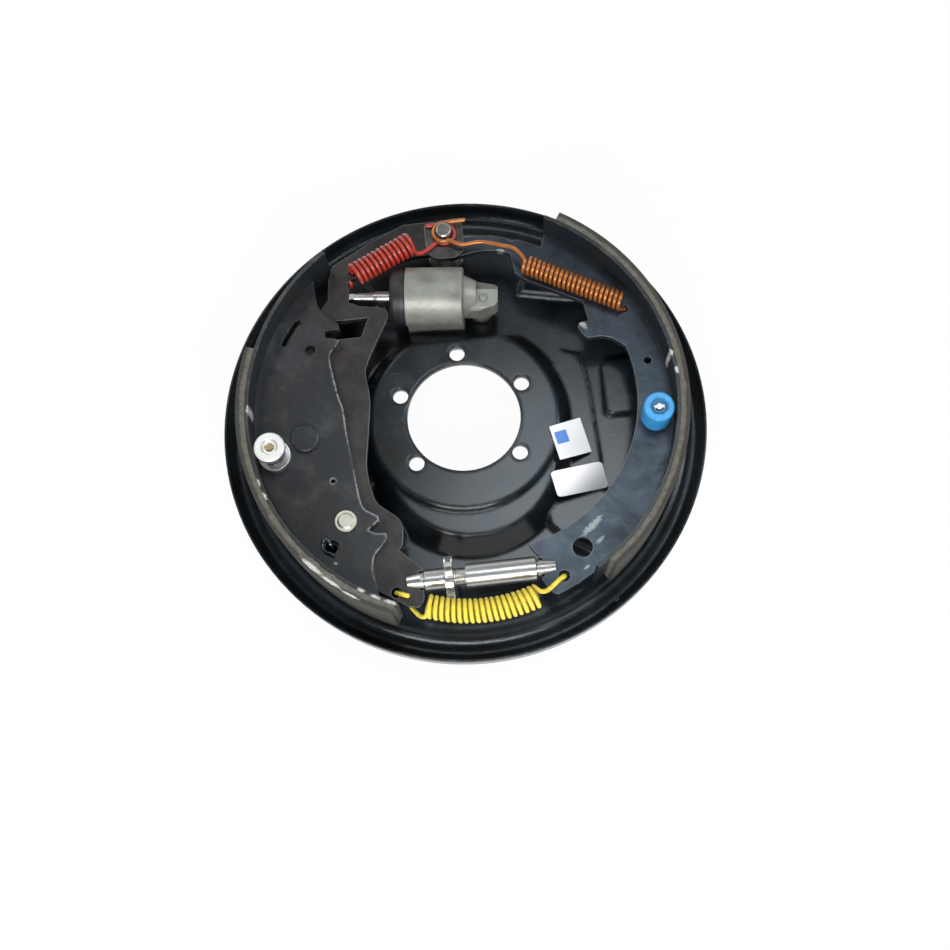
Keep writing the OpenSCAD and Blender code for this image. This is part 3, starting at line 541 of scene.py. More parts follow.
@dataclass(frozen=True)
class OiledSteel(Finish):
    """Bare blanked steel with mill scale, oil film and bright sheared edges."""

    roughness: float = 0.36
    scale_colour: Colour = (0.05, 0.05, 0.055)
    rust: float = 0.1
    metal: float = 0.85
    marks: Marks = ()

    def draw(self, g: Graph) -> None:
        """Lay out the nodes of this finish.

        Args:
            g: The graph of the new material.
        """
        cloud = g.grain(45, 6, 0.68, warp=0.6)
        fine = g.grain(1200, 3, 0.6)
        streak = g.grain(1.0, 3, 0.6, g.stretched((24, 700, 700), (0, 0, 1.1)))
        rusty = (g.grain(130, 6, 0.7).above(0.6, 0.1) * self.rust).clamp()
        bright = (g.edges(0.0008) * 0.6).clamp()
        base = g.mix(cloud.above(0.38, 0.28), self.colour, self.scale_colour)
        base = g.mix(streak.above(0.62, 0.1) * 0.25, base, self.tint(1.9))
        base = g.mix(rusty, base, (0.16, 0.085, 0.05))
        base = g.mix(bright, base, (0.4, 0.4, 0.39))
        rough = self.roughness + cloud * 0.14 + rusty * 0.4 - bright * 0.1
        if self.marks:
            mark = g.spots(self.marks)
            base = g.mix(mark * 0.8, base, (0.42, 0.45, 0.45))
            rough = rough + mark * 0.15
        g.finish(base_color=base, metallic=self.metal, roughness=rough.clamp(),
                 normal=g.relief(fine * 0.6 + cloud * 0.4, 0.00003, 0.8, 0.0005))


@dataclass(frozen=True)
class SandCast(Finish):
    """Cast iron skin with sand grain, pits, a thin grey coat and painted shade in its nooks."""

    def draw(self, g: Graph) -> None:
        """Lay out the nodes of this finish.

        Args:
            g: The graph of the new material.
        """
        sand = g.grain(1500, 3, 0.7)
        lumps = g.grain(300, 3, 0.55)
        pits = g.cells(700).below(0.16, 0.1)
        cloud = g.grain(60, 5, 0.65).above(0.42, 0.3)
        nook_shade = 1 - g.shelter(0.006)
        base = g.mix(cloud, self.colour, self.tint(0.62))
        base = g.mix(sand.above(0.6, 0.1) * 0.4, base, self.tint(1.7))
        # Painted shade: near black in nooks.
        base = g.mix((nook_shade * 0.8).clamp(), base, (0.03, 0.03, 0.028))
        rough = 0.34 + sand * 0.25
        g.finish(base_color=base, metallic=0.55, roughness=rough,
                 normal=g.relief(sand * 0.4 + lumps * 0.6 - pits * 0.3, 0.00022, 0.9, 0.0012))


@dataclass(frozen=True)
class Friction(Finish):
    """Pressed friction material with fibres, brass chips, pale dust and a dark worn side."""

    band_radius: float = 0.1475
    outer_colour: Colour = (0.022, 0.021, 0.02)
    streaks: Marks = (
        (-107.0, -103.0, 10.0, 1.6), (-96.0, -114.0, 9.0, 1.2), (-84.0, -124.0, 7.0, 0.8))

    def draw(self, g: Graph) -> None:
        """Lay out the nodes of this finish.

        Args:
            g: The graph of the new material.
        """
        fibre = g.grain(1.0, 3, 0.7, g.stretched((700, 700, 2200)))
        blot = g.grain(260, 5, 0.7)
        chips = g.cells(900).below(0.13, 0.05)
        pale = g.grain(1700, 2, 0.7).above(0.62, 0.08)
        base = g.mix(blot.above(0.4, 0.25), self.colour, self.tint(0.6))
        base = g.mix(pale * 0.55, base, (0.42, 0.40, 0.34))
        base = g.mix(chips * 0.8, base, (0.35, 0.26, 0.12))
        base = g.mix(fibre.above(0.6, 0.1) * 0.3, base, (0.06, 0.055, 0.05))
        ragged = g.away() + (g.grain(90, 3, 0.6) - 0.5) * 0.003
        base = g.mix(ragged.above(self.band_radius, 0.0012) * 0.8, base, self.outer_colour)
        base = g.mix(g.spots(self.streaks, 0.5) * 0.85, base, (0.62, 0.62, 0.58))
        g.finish(base_color=base, roughness=0.72 + blot * 0.2, metallic=chips * 0.5,
                 normal=g.relief(blot * 0.5 + fibre * 0.5, 0.00025, 1.0, 0.0006))


@dataclass(frozen=True)
class CoatedWire(Finish):
    """Spring wire with a coloured coat, rubbed through where coils touch, with painted shade
    between the coils.
    """

    shade: Colour = (0.1, 0.05, 0.03)
    gloss: float = 0.3
    metal: float = 0.0
    bare: float = 0.25

    def draw(self, g: Graph) -> None:
        """Lay out the nodes of this finish.

        Args:
            g: The graph of the new material.
        """
        cloud = g.grain(320, 4, 0.65)
        fine = g.grain(1500, 3, 0.6)
        nook_shade = (1 - g.shelter(0.0022)) ** 0.7
        chips = (g.grain(620, 4, 0.7).above(0.61, 0.05) * self.bare).clamp()
        base = g.mix(cloud.above(0.4, 0.3), self.colour, self.tint(0.72))
        # Painted shade between the coils, in the darker shade colour.
        base = g.mix((nook_shade * 0.85).clamp(), base, self.shade)
        base = g.mix(chips, base, (0.30, 0.27, 0.24))
        rough = self.gloss + cloud * 0.2 + nook_shade * 0.2
        g.finish(base_color=base, metallic=(chips * 0.6 + self.metal).clamp(),
                 roughness=rough.clamp(), coat_weight=0.25,
                 normal=g.relief(fine * 0.5 + cloud * 0.5, 0.00005, 0.7))


@dataclass(frozen=True)
class Moulded(Finish):
    """Moulded rubber or plastic with a fine skin and pale bloom."""

    roughness: float = 0.5
    bloom: float = 0.12

    def draw(self, g: Graph) -> None:
        """Lay out the nodes of this finish.

        Args:
            g: The graph of the new material.
        """
        skin = g.grain(1300, 2, 0.5)
        cloud = g.grain(90, 5, 0.6).above(0.45, 0.3)
        dust = g.grain(1000, 3, 0.75).above(0.62, 0.08) * g.facing_up().above(0, 0.8)
        base = g.mix(cloud * 0.5, self.colour, self.tint(1.5))
        base = g.mix((dust * self.bloom).clamp(), base, (0.35, 0.34, 0.3))
        g.finish(base_color=base, roughness=(self.roughness + cloud * 0.1).clamp(),
                 normal=g.relief(skin, 0.00002, 0.6, 0.0006))


@dataclass(frozen=True)
class Lacquer(Finish):
    """Bright coloured lacquer on a pressed cup, darker on its dished middle, with painted shade
    in its nooks.
    """

    middle: Point = (0.129, -0.0208, 0.0)
    well_radius: float = 0.0058

    def draw(self, g: Graph) -> None:
        """Lay out the nodes of this finish.

        Args:
            g: The graph of the new material.
        """
        cloud = g.grain(200, 4, 0.6)
        chip = (g.edges(0.0005) * g.grain(700, 4, 0.7).above(0.55, 0.06) * 0.8).clamp()
        # Painted shade in nooks.
        nook_shade = (1 - g.shelter(0.004)) * 0.8
        base = g.mix(cloud.above(0.42, 0.25), self.colour, self.tint(0.8))
        base = g.mix(nook_shade.clamp(), base, self.tint(0.25))
        # Darker on the upward faces of the dished middle.
        ragged = g.away(self.middle) + (g.grain(300, 2, 0.5) - 0.5) * 0.005
        well = ragged.below(self.well_radius, 0.0008) * g.facing_up().above(0.5)
        base = g.mix(well * 0.75, base, self.tint(0.42))
        base = g.mix(chip, base, (0.5, 0.5, 0.5))
        g.finish(base_color=base, roughness=0.26 + cloud * 0.12, metallic=chip,
                 normal=g.relief(g.grain(800, 2, 0.5), 0.00003, 0.7, 0.0005))


@dataclass(frozen=True)
class Paper(Finish):
    """Coated label stock, a little grubby, with a faint tooth."""

    def draw(self, g: Graph) -> None:
        """Lay out the nodes of this finish.

        Args:
            g: The graph of the new material.
        """
        grubby = (g.grain(160, 5, 0.7).above(0.52, 0.2) * 0.16).clamp()
        fibre = g.grain(2200, 2, 0.6)
        base = g.mix(grubby, self.colour, self.tint(0.72))
        g.finish(base_color=base, roughness=0.42 + fibre * 0.1,
                 normal=g.relief(fibre, 0.00001, 0.5))


@dataclass(frozen=True)
class StudioFloor(Finish):
    """Pale sweep that reads as white and keeps a faint contact shadow."""

    glow: float = 0.96

    def draw(self, g: Graph) -> None:
        """Lay out the nodes of this finish.

        Args:
            g: The graph of the new material.
        """
        fine = g.grain(3, 2, 0.5)
        base = g.mix(fine, self.colour, self.tint(0.985))
        g.finish(base_color=base, roughness=0.9, specular_ior_level=0.1)
        rays = [g.node("ShaderNodeLightPath", output=name)
                for name in ("Is Camera Ray", "Is Glossy Ray", "Is Transmission Ray")]
        seen = rays[0].highest(rays[1]).highest(rays[2])
        glow = g.node("ShaderNodeEmission", {}, {"Color": (1, 1, 1, 1), "Strength": 1.0})
        mixed = g.node("ShaderNodeMixShader", {}, {
            0: seen * self.glow, 1: Port(g, g.shader.outputs[0]), 2: glow})
        g.tree.links.new(mixed.socket, g.output.inputs["Surface"])


class Coat(Enum):
    """The finishes of the brake, each named for what it covers."""

    # On the plate, the edge marks in the bluish grey mark colour are painted highlights along its
    # pressed edges and lower shelf.
    PLATE = DipPaint("plate_dip_paint", (0.006, 0.0065, 0.007), gloss=0.14, dust=0.05,
                     soften=0.0038, mark_colour=(0.16, 0.18, 0.2),
                     marks=((103.4, -20.2, 1.6, 0.9), (89.8, -135.9, 2.2, 1.0)),
                     edge_marks=((88.0, 0.0, 40.0, 5.0), (66.0, 92.0, 20.0, 16.0),
                                 (30.0, -80.0, 26.0, 8.0), (-40.0, -78.0, 22.0, 8.0)))
    SHOE = DipPaint("shoe_dip_paint", (0.014, 0.014, 0.015), gloss=0.24, dust=0.13, wear=0.55,
                    cool=(0.013, 0.015, 0.019),
                    marks=((-93.7, -98.6, 1.6, 1.1),),
                    edge_marks=((-84.0, 10.0, 55.0, 14.0), (-72.0, -62.0, 44.0, 16.0),
                                (-64.0, -100.0, 26.0, 16.0)))
    TABLE = DipPaint("shoe_table_paint", (0.018, 0.018, 0.017), gloss=0.3, dust=0.22, wear=0.6,
                     peel=0.00008, mark_colour=(0.55, 0.56, 0.53),
                     marks=((-106.0, -101.0, 8.0, 1.8), (-95.0, -111.0, 8.0, 1.4),
                            (-76.8, -121.6, 3.0, 1.6), (-68.4, -127.0, 4.0, 1.4),
                            (-59.2, -131.3, 4.5, 1.4), (-48.5, -136.5, 4.0, 1.2),
                            (142.0, 15.5, 2.4, 1.6), (144.0, 3.0, 3.0, 1.4),
                            (-145.2, 22.2, 3.6, 1.6), (-142.0, 8.0, 3.6, 1.4),
                            (-138.2, -43.5, 3.2, 1.6), (-134.5, -53.0, 3.2, 1.4)))
    POST = OiledSteel("anchor_post_steel", (0.42, 0.41, 0.39), roughness=0.16, rust=0.1)
    GUIDE = OiledSteel("guide_plate_steel", (0.16, 0.145, 0.15), roughness=0.24, rust=0.15,
                       metal=0.9)
    LEVER = OiledSteel("lever_steel", (0.052, 0.046, 0.042), roughness=0.26, metal=0.5,
                       scale_colour=(0.022, 0.02, 0.019))
    WEB = OiledSteel("secondary_web_steel", (0.050, 0.064, 0.080), roughness=0.26, metal=0.6,
                     scale_colour=(0.022, 0.028, 0.036),
                     marks=((76.5, -91.0, 9.0, 2.4), (80.1, -101.3, 4.0, 1.6),
                            (69.3, -118.3, 2.4, 1.0), (77.1, -123.2, 2.2, 1.0),
                            (63.0, -128.6, 2.6, 0.9), (88.6, 52.6, 5.0, 2.2),
                            (93.9, -10.5, 1.6, 1.0), (38.5, 115.0, 3.0, 1.2)))
    CAST = SandCast("cylinder_casting", (0.30, 0.305, 0.275))
    ZINC = Plate("zinc_plate", (0.58, 0.58, 0.58), roughness=0.22, stain_and_shade_amount=0.4)
    THREAD = Plate("zinc_thread", (0.64, 0.64, 0.62), roughness=0.24, stain_and_shade_amount=0.5, pitch=0.0015)
    CHROME = Plate("bright_cup_plate", (0.93, 0.93, 0.92), roughness=0.34, stain_and_shade_amount=0.2)
    PINS = Plate("yellow_zinc", (0.60, 0.48, 0.26), roughness=0.22, stain_and_shade_amount=0.4)
    KHAKI = Plate("rivet_zinc", (0.66, 0.64, 0.54), roughness=0.3, stain_and_shade_amount=0.6)
    LINING = Friction("friction_lining", (0.125, 0.12, 0.098))
    RED = CoatedWire("red_spring_coat", (0.44, 0.036, 0.02), shade=(0.05, 0.008, 0.006),
                     gloss=0.2)
    COPPER = CoatedWire("copper_spring_coat", (0.50, 0.17, 0.035), shade=(0.06, 0.02, 0.006),
                        metal=0.45, gloss=0.2)
    YELLOW = CoatedWire("yellow_spring_coat", (0.86, 0.68, 0.06), shade=(0.16, 0.10, 0.005),
                        bare=0.08, gloss=0.22)
    SPRING = OiledSteel("plain_spring_wire", (0.3, 0.3, 0.31), roughness=0.22)
    BLUED = OiledSteel("blued_spring_wire", (0.06, 0.075, 0.12), roughness=0.22, rust=0.0)
    RUBBER = Moulded("moulded_rubber", (0.012, 0.012, 0.013), roughness=0.42)
    PISTON = Plate("anodised_piston", (0.6, 0.61, 0.6), roughness=0.3, stain_and_shade_amount=0.15)
    BLUE = Lacquer("blue_cup_lacquer", (0.05, 0.34, 0.72))
    LABEL = Paper("label_stock", (0.93, 0.93, 0.95))
    PANEL = Paper("label_print", (0.10, 0.27, 0.72))
    CLIP = OiledSteel("blued_clip_wire", (0.05, 0.085, 0.17), roughness=0.15, rust=0.0)

    def put_on(self, *pieces: bpy.types.Object) -> None:
        """Give pieces this finish.

        Args:
            *pieces: The objects to dress.
        """
        self.value.put_on(*pieces)


def new_piece(name: str, points: Sequence[Sequence[float]], faces: Sequence[Sequence[int]],
              smooth: bool = True) -> bpy.types.Object:
    """Make a mesh object from points in metres.

    Args:
        name: Name of the piece.
        points: Vertices in the row frame.
        faces: Vertex numbers of each face.
        smooth: Shade the faces smooth.

    Returns:
        The linked object.
    """
    mesh = bpy.data.meshes.new(name)
    mesh.from_pydata([tuple(p) for p in points], [], [tuple(f) for f in faces])
    mesh.update()
    if smooth:
        mesh.polygons.foreach_set("use_smooth", [True] * len(mesh.polygons))
    made = bpy.data.objects.new(name, mesh)
    bpy.context.scene.collection.objects.link(made)
    return made


def swept_wire(name: str, path: Sequence[Vector], radius: float,
               sides: int = 14) -> bpy.types.Object:
    """Sweep a round wire with rounded ends along a path.

    Args:
        name: Name of the piece.
        path: Centre line in metres.
        radius: Wire radius in metres.
        sides: Points round the wire.

    Returns:
        The wire as one smooth mesh.
    """
    tangents = [(path[min(i + 1, len(path) - 1)] - path[max(i - 1, 0)]).normalized()
                for i in range(len(path))]
    side = tangents[0].cross(Vector((0, 0, 1)) if abs(tangents[0].z) < 0.8 else
                             Vector((1, 0, 0))).normalized()
    rings: list[tuple[Vector, Vector, Vector, float]] = []
    for point, tangent in zip(path, tangents):
        side = (side - side.dot(tangent) * tangent).normalized()
        rings.append((point, side, tangent.cross(side), radius))
    first, last = rings[0], rings[-1]
    start = [(first[0] - tangents[0] * radius * d, first[1], first[2], radius * s)
             for d, s in reversed(WIRE_CAP)]
    end = [(last[0] + tangents[-1] * radius * d, last[1], last[2], radius * s)
           for d, s in WIRE_CAP]
    rings = start + rings + end
    points = [c + r * (math.cos(a) * u + math.sin(a) * v)
              for c, u, v, r in rings
              for a in (2 * math.pi * k / sides for k in range(sides))]
    faces = [(i * sides + k, i * sides + (k + 1) % sides,
              (i + 1) * sides + (k + 1) % sides, (i + 1) * sides + k)
             for i in range(len(rings) - 1) for k in range(sides)]
    faces.append(tuple(reversed(range(sides))))
    faces.append(tuple((len(rings) - 1) * sides + k for k in range(sides)))
    return new_piece(name, points, faces)


def smooth_path(points: Sequence[Sequence[float]], steps: int) -> list[Vector]:
    """Catmull-Rom curve through points given in millimetres.

    Args:
        points: The points to pass through.
        steps: Pieces between two neighbours.

    Returns:
        The curve in millimetres.
    """
    p = [Vector(q) for q in points]
    out: list[Vector] = []
    for i in range(len(p) - 1):
        a, b, c, d = p[max(i - 1, 0)], p[i], p[i + 1], p[min(i + 2, len(p) - 1)]
        for k in range(steps):
            s = k / steps
            out.append(0.5 * (2 * b + (c - a) * s + (2 * a - 5 * b + 4 * c - d) * s * s
                              + (3 * b - a - 3 * c + d) * s ** 3))
    out.append(p[-1])
    return out


class Assembly(ABC):
    """A group of pieces of the brake that is dressed together."""

    @abstractmethod
    def build(self) -> list[bpy.types.Object]:
        """Make the group's extra pieces and put the finishes on.

        Returns:
            The new objects, CAD nodes not counted.
        """


class Dressed(Assembly):
    """A group whose CAD nodes are its whole shape, so that only finishes go on."""

    coats: ClassVar[dict[Coat, tuple[str, ...]]]

    def build(self) -> list[bpy.types.Object]:
        """Dress every node of the group.

        Returns:
            No new objects.
        """
        for coat, nodes in self.coats.items():
            coat.put_on(*(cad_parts[n] for n in nodes))
        return []


class BackingPlate(Dressed):
    """Pressed plate with its anchor post, guide plate and slot plug."""

    coats = {Coat.PLATE: ("backing_plate",), Coat.POST: ("anchor_post",),
             Coat.GUIDE: ("guide_plate",), Coat.RUBBER: ("adjusting_slot_plug",)}


class WheelCylinder(Dressed):
    """Cast cylinder with its boot, piston, push rod and rear fittings."""

    coats = {Coat.CAST: ("cylinder_body",),
             Coat.RUBBER: ("cylinder_boot", "piston_seal", "bleeder_cap"),
             Coat.ZINC: ("push_rod", "cylinder_bolts"), Coat.PISTON: ("piston",),
             Coat.PINS: ("bleeder_screw",), Coat.SPRING: ("piston_spring",)}


class Shoes(Dressed):
    """Lever, both shoes and the small parts on them."""

    coats = {Coat.LEVER: ("free_backing_lever",), Coat.SHOE: ("primary_web", "pivot_pin"),
             Coat.WEB: ("secondary_web",), Coat.TABLE: ("primary_table", "secondary_table"),
             Coat.LINING: ("primary_lining", "secondary_lining"),
             Coat.KHAKI: ("stop_rivet",), Coat.CLIP: ("pivot_clip",)}


class Adjuster(Dressed):
    """Star wheel screw, sleeve and socket."""

    coats = {Coat.ZINC: ("adjuster_socket", "thrust_washer", "adjuster_sleeve"),
             Coat.THREAD: ("star_screw",)}


class HoldDowns(Dressed):
    """Pins, seats, springs and cups that hold the shoes on the plate."""

    coats = {Coat.CHROME: ("primary_hold_seat", "primary_hold_cup"),
             Coat.PINS: ("primary_hold_pin",),
             Coat.BLUE: ("secondary_hold_seat", "secondary_hold_cup"),
             Coat.ZINC: ("secondary_hold_pin",),
             Coat.BLUED: ("primary_hold_spring", "secondary_hold_spring")}


@dataclass
class CoilSpring:
    """One coil spring with formed ends, swept along a single smooth path."""

    node: str
    coat: Coat
    wire: float
    start: Point
    end: Point
    radius: float
    turns: float
    phase: float
    lead: tuple[Point, ...]
    tail: tuple[Point, ...]
    far: tuple[Point, ...] = ()
    sag: float = 0.0
    fine: int = 26

    def coil(self) -> list[Vector]:
        """Points of the coil itself.

        Returns:
            The points in millimetres.
        """
        first, last = Vector(self.start), Vector(self.end)
        up = Vector((0, 0, 1))
        side = (last - first).normalized().cross(up).normalized()
        count = round(self.turns * self.fine)
        out = []
        for i in range(count + 1):
            part = i / count
            turn = math.radians(self.phase + 360 * self.turns * part)
            run = (last - first + self.sag * 4 * (1 - 2 * part) * side).normalized()
            flat = run.cross(up).normalized()
            out.append(first + (last - first) * part + self.sag * 4 * part * (1 - part) * side
                       + self.radius * (math.cos(turn) * flat
                                        - math.sin(turn) * flat.cross(run)))
        return out

    def path(self) -> list[Vector]:
        """Whole centre line: lead, coil, tail and what follows the tail.

        Returns:
            The points in metres.
        """
        coil = self.coil()
        lead = smooth_path([*self.lead, tuple(coil[0])], 6)[:-1]
        tail = smooth_path([tuple(coil[-1]), *self.tail], 6)[1:]
        far = [Vector(q) for q in self.far]
        return [q * MM for q in (*lead, *coil, *tail, *far)]

    def build(self) -> bpy.types.Object:
        """Make the wire, dress it and let it stand for its CAD node.

        Returns:
            The wire.
        """
        made = swept_wire(self.node + "_wire", self.path(), self.wire * MM)
        self.coat.put_on(made)
        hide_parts(self.node)
        return made


def arc_points(centre: Point, radius: float, start: float, end: float,
               steps: int = 28) -> tuple[Point, ...]:
    """Points of a flat arc round the Z axis, in millimetres.

    Args:
        centre: Middle of the arc.
        radius: Its radius.
        start: First angle in degrees.
        end: Last angle in degrees.
        steps: Pieces of the arc.

    Returns:
        The points in order.
    """
    turns = (math.radians(start + (end - start) * i / steps) for i in range(steps + 1))
    return tuple((centre[0] + radius * math.cos(t), centre[1] + radius * math.sin(t), centre[2])
                 for t in turns)


@dataclass
class ReturnSprings(Assembly):
    """The three coil springs."""

    post: tuple[float, float] = (0.0, 130.0)
    red_z: float = 24.7
    red_loop: tuple[float, float, float] = (7.2, -132, 78)
    copper_z: float = 27.9
    copper_loop: tuple[float, float, float] = (7.1, 100, 294)

    def build(self) -> list[bpy.types.Object]:
        """Sweep the springs, with ends formed to reach what they hook on, and bake their
        placement into the meshes.

        Returns:
            The three wires.
        """
        red_loop = arc_points((*self.post, self.red_z), *self.red_loop)
        copper_loop = arc_points((*self.post, self.copper_z), *self.copper_loop)
        red = CoilSpring(
            "primary_return_spring", Coat.RED, 1.5, (-64.6, 103.6, 30), (-24.4, 122.5, 30), 7.0,
            12.25, 180,
            lead=((-68.4, 100.6, 24.2), (-68.9, 101.1, 17.8), (-69.2, 102.6, 13.2),
                  (-68.4, 106.6, 12.8), (-67.4, 109.6, 15.8), (-67.4, 110, 21.2),
                  (-67.6, 109.97, 27.0)),
            tail=((-22.5, 119.0, 31.5), (-22.6, 117.2, 30.6), (-19.2, 116.2, 26.5),
                  (-14.4, 118.0, 25.1), red_loop[0]),
            far=(*red_loop[1:], *(tuple(q) for q in smooth_path(
                (red_loop[-1], (-1.5, 137.5, 24.7), (-7, 137.7, 24.7), (-11.5, 137.7, 24.7)),
                4)[1:])))
        copper = CoilSpring(
            "secondary_return_spring", Coat.COPPER, 1.4, (54.1, 98.4, 27.9),
            (116.6, 62.7, 27.9), 5.6, 21.3, 270,
            lead=((15.5, 137.6, 27.9), (9, 137.5, 27.9), (3, 137.3, 27.9), *copper_loop,
                  (11.8, 118.6, 28.3), (24.8, 118.6, 28.9), (38, 113.6, 30.9),
                  (46.6, 109.6, 32.5), (51.4, 104, 33.3)),
            tail=((117.4, 59.2, 22.6), (119.3, 60, 20.2), (119.3, 60, 12.4)))
        yellow = CoilSpring(
            "adjuster_spring", Coat.YELLOW, 1.6, (-36.6, -133.8, 29), (34.6, -135, 29), 6.5,
            19.25, 90, sag=6.2,
            lead=((-48.6, -124.6, 22.2), (-53.6, -122.8, 22.1), (-56.3, -121.4, 19.4),
                  (-56.3, -121.4, 15.9), (-54.9, -122, 13.2), (-49, -129, 13),
                  (-43, -137, 15), (-38.6, -138.6, 20.2)),
            tail=((36.9, -132, 26.8), (42, -130.8, 22.6), (50.4, -124.8, 22.1),
                  (53.8, -122.4, 19.6), (53.8, -122.4, 12.8)))
        springs = (red, copper, yellow)
        made = [spring.build() for spring in springs]
        held = (("lever", "backing"), ("backing", "secondary_shoe"),
                ("backing", "secondary_shoe"))
        for wire, spring, (first, second) in zip(made, springs, held):
            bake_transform(wire)
        return made


@dataclass
class Labels(Assembly):
    """Two bare paper labels on the plate, one with a plain blue panel."""

    lift: float = 0.1
    thick: float = 0.25
    curl_from: float = 0.35
    rings: tuple[float, ...] = (1.0, 0.99, 0.92, 0.84, 0.76, 0.68, 0.6, 0.5, 0.4, 0.2)
    square: Corners = ((57.4, -15.4), (80.4, -7.6), (85.6, -32.0), (62.2, -38.9))
    oblong: Corners = ((54.5, -46.1), (91.1, -40.1), (94.2, -58.0), (58.0, -63.5))
    panel: Corners = ((60.4, -19.6), (69.0, -16.8), (70.8, -25.2), (62.2, -27.8))

    def sheet(self, name: str, corners: Corners, bed: Vector,
              lift: float, rounding: float, curl: float, coat: Coat) -> bpy.types.Object:
        """Make one label with rounded corners, one corner a little off the surface.

        Args:
            name: Name of the piece.
            corners: Four corners in millimetres, in order.
            bed: The plane that it rests on.
            lift: Height of its underside in millimetres.
            rounding: Share of each side taken by the corner rounding.
            curl: How far the first corner stands off, in millimetres.
            coat: Its finish.

        Returns:
            The label.
        """
        outline: list[Vector] = []
        for i, corner in enumerate(corners):
            here = Vector(corner)
            before, after = Vector(corners[i - 1]), Vector(corners[(i + 1) % 4])
            a = here.lerp(before, rounding)
            b = here.lerp(after, rounding)
            for k in range(7):
                t = k / 6
                outline.append(a.lerp(here, t).lerp(here.lerp(b, t), t))
            far = Vector(corners[(i + 1) % 4]).lerp(here, rounding)
            outline.extend(b.lerp(far, k / 8) for k in range(1, 8))
        middle = sum(outline, Vector((0, 0))) / len(outline)
        points: list[Point] = []
        first = Vector(corners[0]) - middle
        for top in (False, True):
            for ring in self.rings:
                for q in outline:
                    flat = middle + (q - middle) * ring
                    along = (flat - middle).dot(first) / first.length_squared
                    rise = curl * max(0.0, along - self.curl_from) ** 2
                    over = lift + rise + (self.thick if top else 0)
                    points.append((flat.x * MM, flat.y * MM,
                                   (self.rest(bed, flat) + over) * MM))
            over = lift + (self.thick if top else 0)
            points.append((middle.x * MM, middle.y * MM, (self.rest(bed, middle) + over) * MM))
        n, m = len(outline), len(self.rings)
        layer = n * m + 1
        faces: list[tuple[int, ...]] = []
        for r in range(m - 1):
            for k in range(n):
                j = (k + 1) % n
                low = (r * n + k, r * n + j, (r + 1) * n + j, (r + 1) * n + k)
                faces.append(tuple(reversed(low)))
                faces.append(tuple(v + layer for v in low))
        for k in range(n):
            j = (k + 1) % n
            faces.append((layer - 1, (m - 1) * n + j, (m - 1) * n + k))
            faces.append((2 * layer - 1, layer + (m - 1) * n + k, layer + (m - 1) * n + j))
            faces.append((k, j, layer + j, layer + k))
        made = new_piece(name, points, faces, smooth=False)
        coat.put_on(made)
        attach(made, "backing")
        return made

    @staticmethod
    def rest(bed: Vector, place: Vector) -> float:
        """Height of a label's bed at a point, in millimetres."""
        return bed.x * place.x + bed.y * place.y + bed.z

    def bed(self, corners: Corners) -> Vector:
        """Tilted plane on which a stiff label rests.

        Args:
            corners: The label's corners in millimetres.

        Returns:
            Slopes along X and Y and the height at the origin, in millimetres.
        """
        rows = [Vector((x, y, 1.0)) for x, y in corners]
        high = [self.ground(Vector(c)) / MM for c in corners]
        square = Matrix([[sum(r[i] * r[j] for r in rows) for j in range(3)]
                         for i in range(3)])
        plane = square.inverted() @ Vector([sum(r[i] * h for r, h in zip(rows, high))
                                            for i in range(3)])
        a, b, c, d = (Vector(q) for q in corners)
        net = [a.lerp(b, i / 12).lerp(d.lerp(c, i / 12), j / 12)
               for i in range(13) for j in range(13)]
        plane.z += max(self.ground(q) / MM - self.rest(plane, q) for q in net)
        return plane

    @staticmethod
    def ground(place: Vector) -> float:
        """Height of the plate under a point, in metres.

        Args:
            place: Point in millimetres.

        Returns:
            The height, from a ray cast down on the plate.
        """
        hit, where, _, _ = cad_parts["backing_plate"].ray_cast(
            Vector((place.x * MM, place.y * MM, 0.05)), Vector((0, 0, -1)))
        return where.z if hit else 0.0

    def build(self) -> list[bpy.types.Object]:
        """Lay both labels and the printed panel of the first.

        Returns:
            The three sheets.
        """
        first, second = self.bed(self.square), self.bed(self.oblong)
        return [
            self.sheet("square_label", self.square, first, self.lift, 0.03, 0.0, Coat.LABEL),
            self.sheet("square_label_panel", self.panel, first, self.lift + self.thick, 0.02,
                       0.0, Coat.PANEL),
            self.sheet("oblong_label", self.oblong, second, self.lift, 0.12, 0.3, Coat.LABEL)]


@dataclass(frozen=True)
class Lamp:
    """Soft rectangular lamp aimed at the brake; watts and metres."""

    name: str
    power: float
    size: tuple[float, float]
    place: Point
    colour: Colour = (1.0, 1.0, 1.0)

    def build(self) -> None:
        """Hang the lamp."""
        data = bpy.data.lights.new(self.name, "AREA")
        data.color = self.colour
        data.shape = "RECTANGLE"
        data.energy, data.size, data.size_y = self.power, *self.size
        made = bpy.data.objects.new(self.name, data)
        made.location = self.place
        made.rotation_euler = Vector(self.place).to_track_quat("Z", "Y").to_euler()
        bpy.context.scene.collection.objects.link(made)


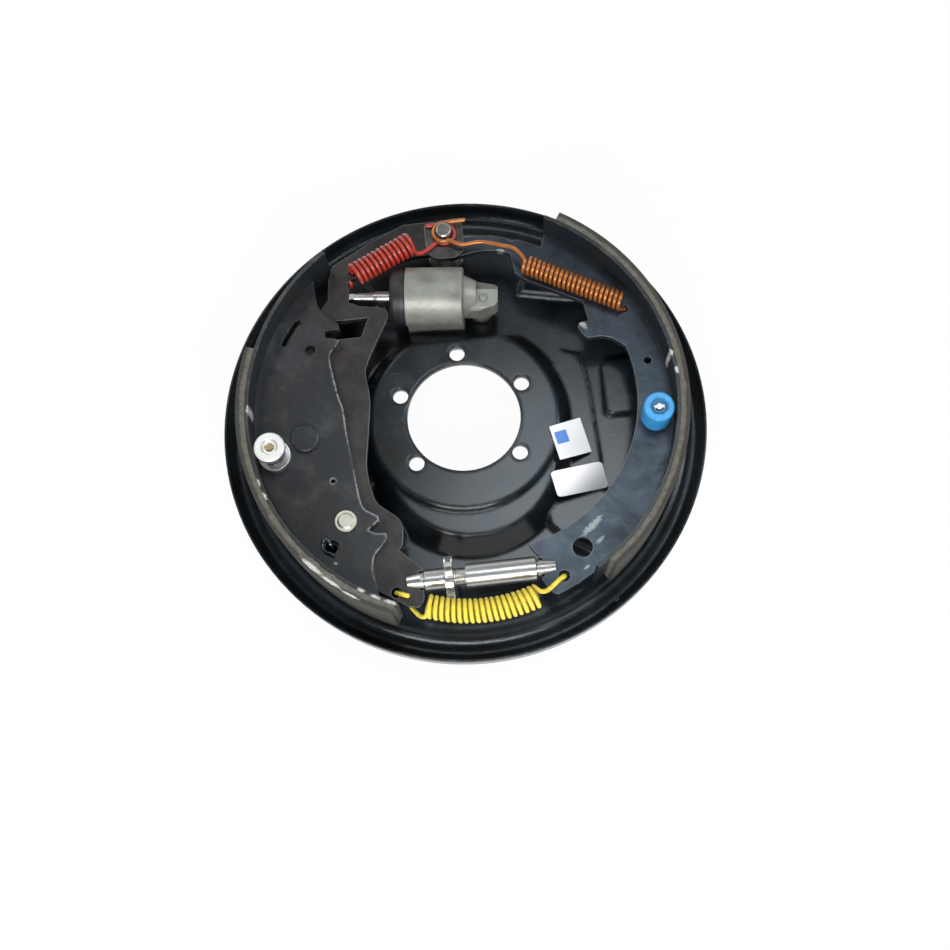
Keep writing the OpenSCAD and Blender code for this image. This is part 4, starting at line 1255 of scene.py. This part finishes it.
@dataclass
class Studio:
    """Camera, lights, world and floor."""

    place: Point = (0.0013, -0.2718, 0.7922)
    right: Point = (0.9939, -0.1062, -0.0285)
    up: Point = (0.1100, 0.9545, 0.2774)
    focal_px: float = 1200.0
    frame_px: float = 950.0
    zenith: float = 0.2
    floor_half: float = 3.0
    floor_gap: float = 0.0005
    lamps: tuple[Lamp, ...] = (
        Lamp("key_lamp", 14.0, (0.95, 0.22), (-0.12, -1.0, 0.80)),
        Lamp("side_lamp", 4.5, (0.3, 0.6), (1.0, 0.1, 0.8)),
        Lamp("top_lamp", 4.0, (0.5, 0.5), (-0.6, 0.8, 0.95)),
        Lamp("ceiling_panel", 7.5, (0.75, 0.6), (0.27, 0.38, 2.1), (0.84, 0.94, 1.0)))

    def camera(self) -> None:
        """Set the camera where the photograph was taken from."""
        data = bpy.data.cameras.new("camera")
        data.sensor_width = 36.0
        data.lens = 36.0 * self.focal_px / self.frame_px
        data.clip_start, data.clip_end = 0.01, 20
        made = bpy.data.objects.new("camera", data)
        right, up = Vector(self.right).normalized(), Vector(self.up)
        back = right.cross(up).normalized()
        up = back.cross(right)
        turn = Matrix((right, up, back)).transposed().to_4x4()
        made.matrix_world = Matrix.Translation(self.place) @ turn
        bpy.context.scene.collection.objects.link(made)
        bpy.context.scene.camera = made

    def build(self, lowest: float) -> None:
        """Build everything that isn't the brake.

        Args:
            lowest: Height of the brake's lowest point, in metres.
        """
        self.camera()
        scene = bpy.context.scene
        scene.view_settings.view_transform = "Standard"
        world = bpy.data.worlds.new("studio_world")
        world.use_nodes = True
        g = Graph(world)
        look = g.node("ShaderNodeTexCoord", output="Generated")
        height = g.node("ShaderNodeSeparateXYZ", {}, {"Vector": look}, "Z")
        dome = (self.zenith,) * 3
        g.finish(color=g.mix(height.above(0.22, 0.4), (1.0, 1.0, 1.0), dome), strength=1.0)
        scene.world = world
        for lamp in self.lamps:
            lamp.build()
        half, level = self.floor_half, lowest - self.floor_gap
        floor = new_piece("studio_floor", [(-half, -half, level), (half, -half, level),
                                           (half, half, level), (-half, half, level)],
                          [(0, 1, 2, 3)], smooth=False)
        StudioFloor("studio_floor", (0.86, 0.86, 0.86)).put_on(floor)


def main() -> None:
    """Build the brake's looks in order and log each group's count of new pieces."""
    logging.basicConfig(level=logging.INFO, format="%(name)s: %(message)s")
    groups: dict[str, Assembly] = {
        "backing plate": BackingPlate(), "wheel cylinder": WheelCylinder(), "shoes": Shoes(),
        "adjuster": Adjuster(), "hold-downs": HoldDowns(), "springs": ReturnSprings(),
        "labels": Labels()}
    for name, group in groups.items():
        made = group.build()
        log.info("%s: %d pieces of its own", name, len(made))
    Studio().build(CAD_BOX[0].z)


if __name__ == "__main__":
    main()
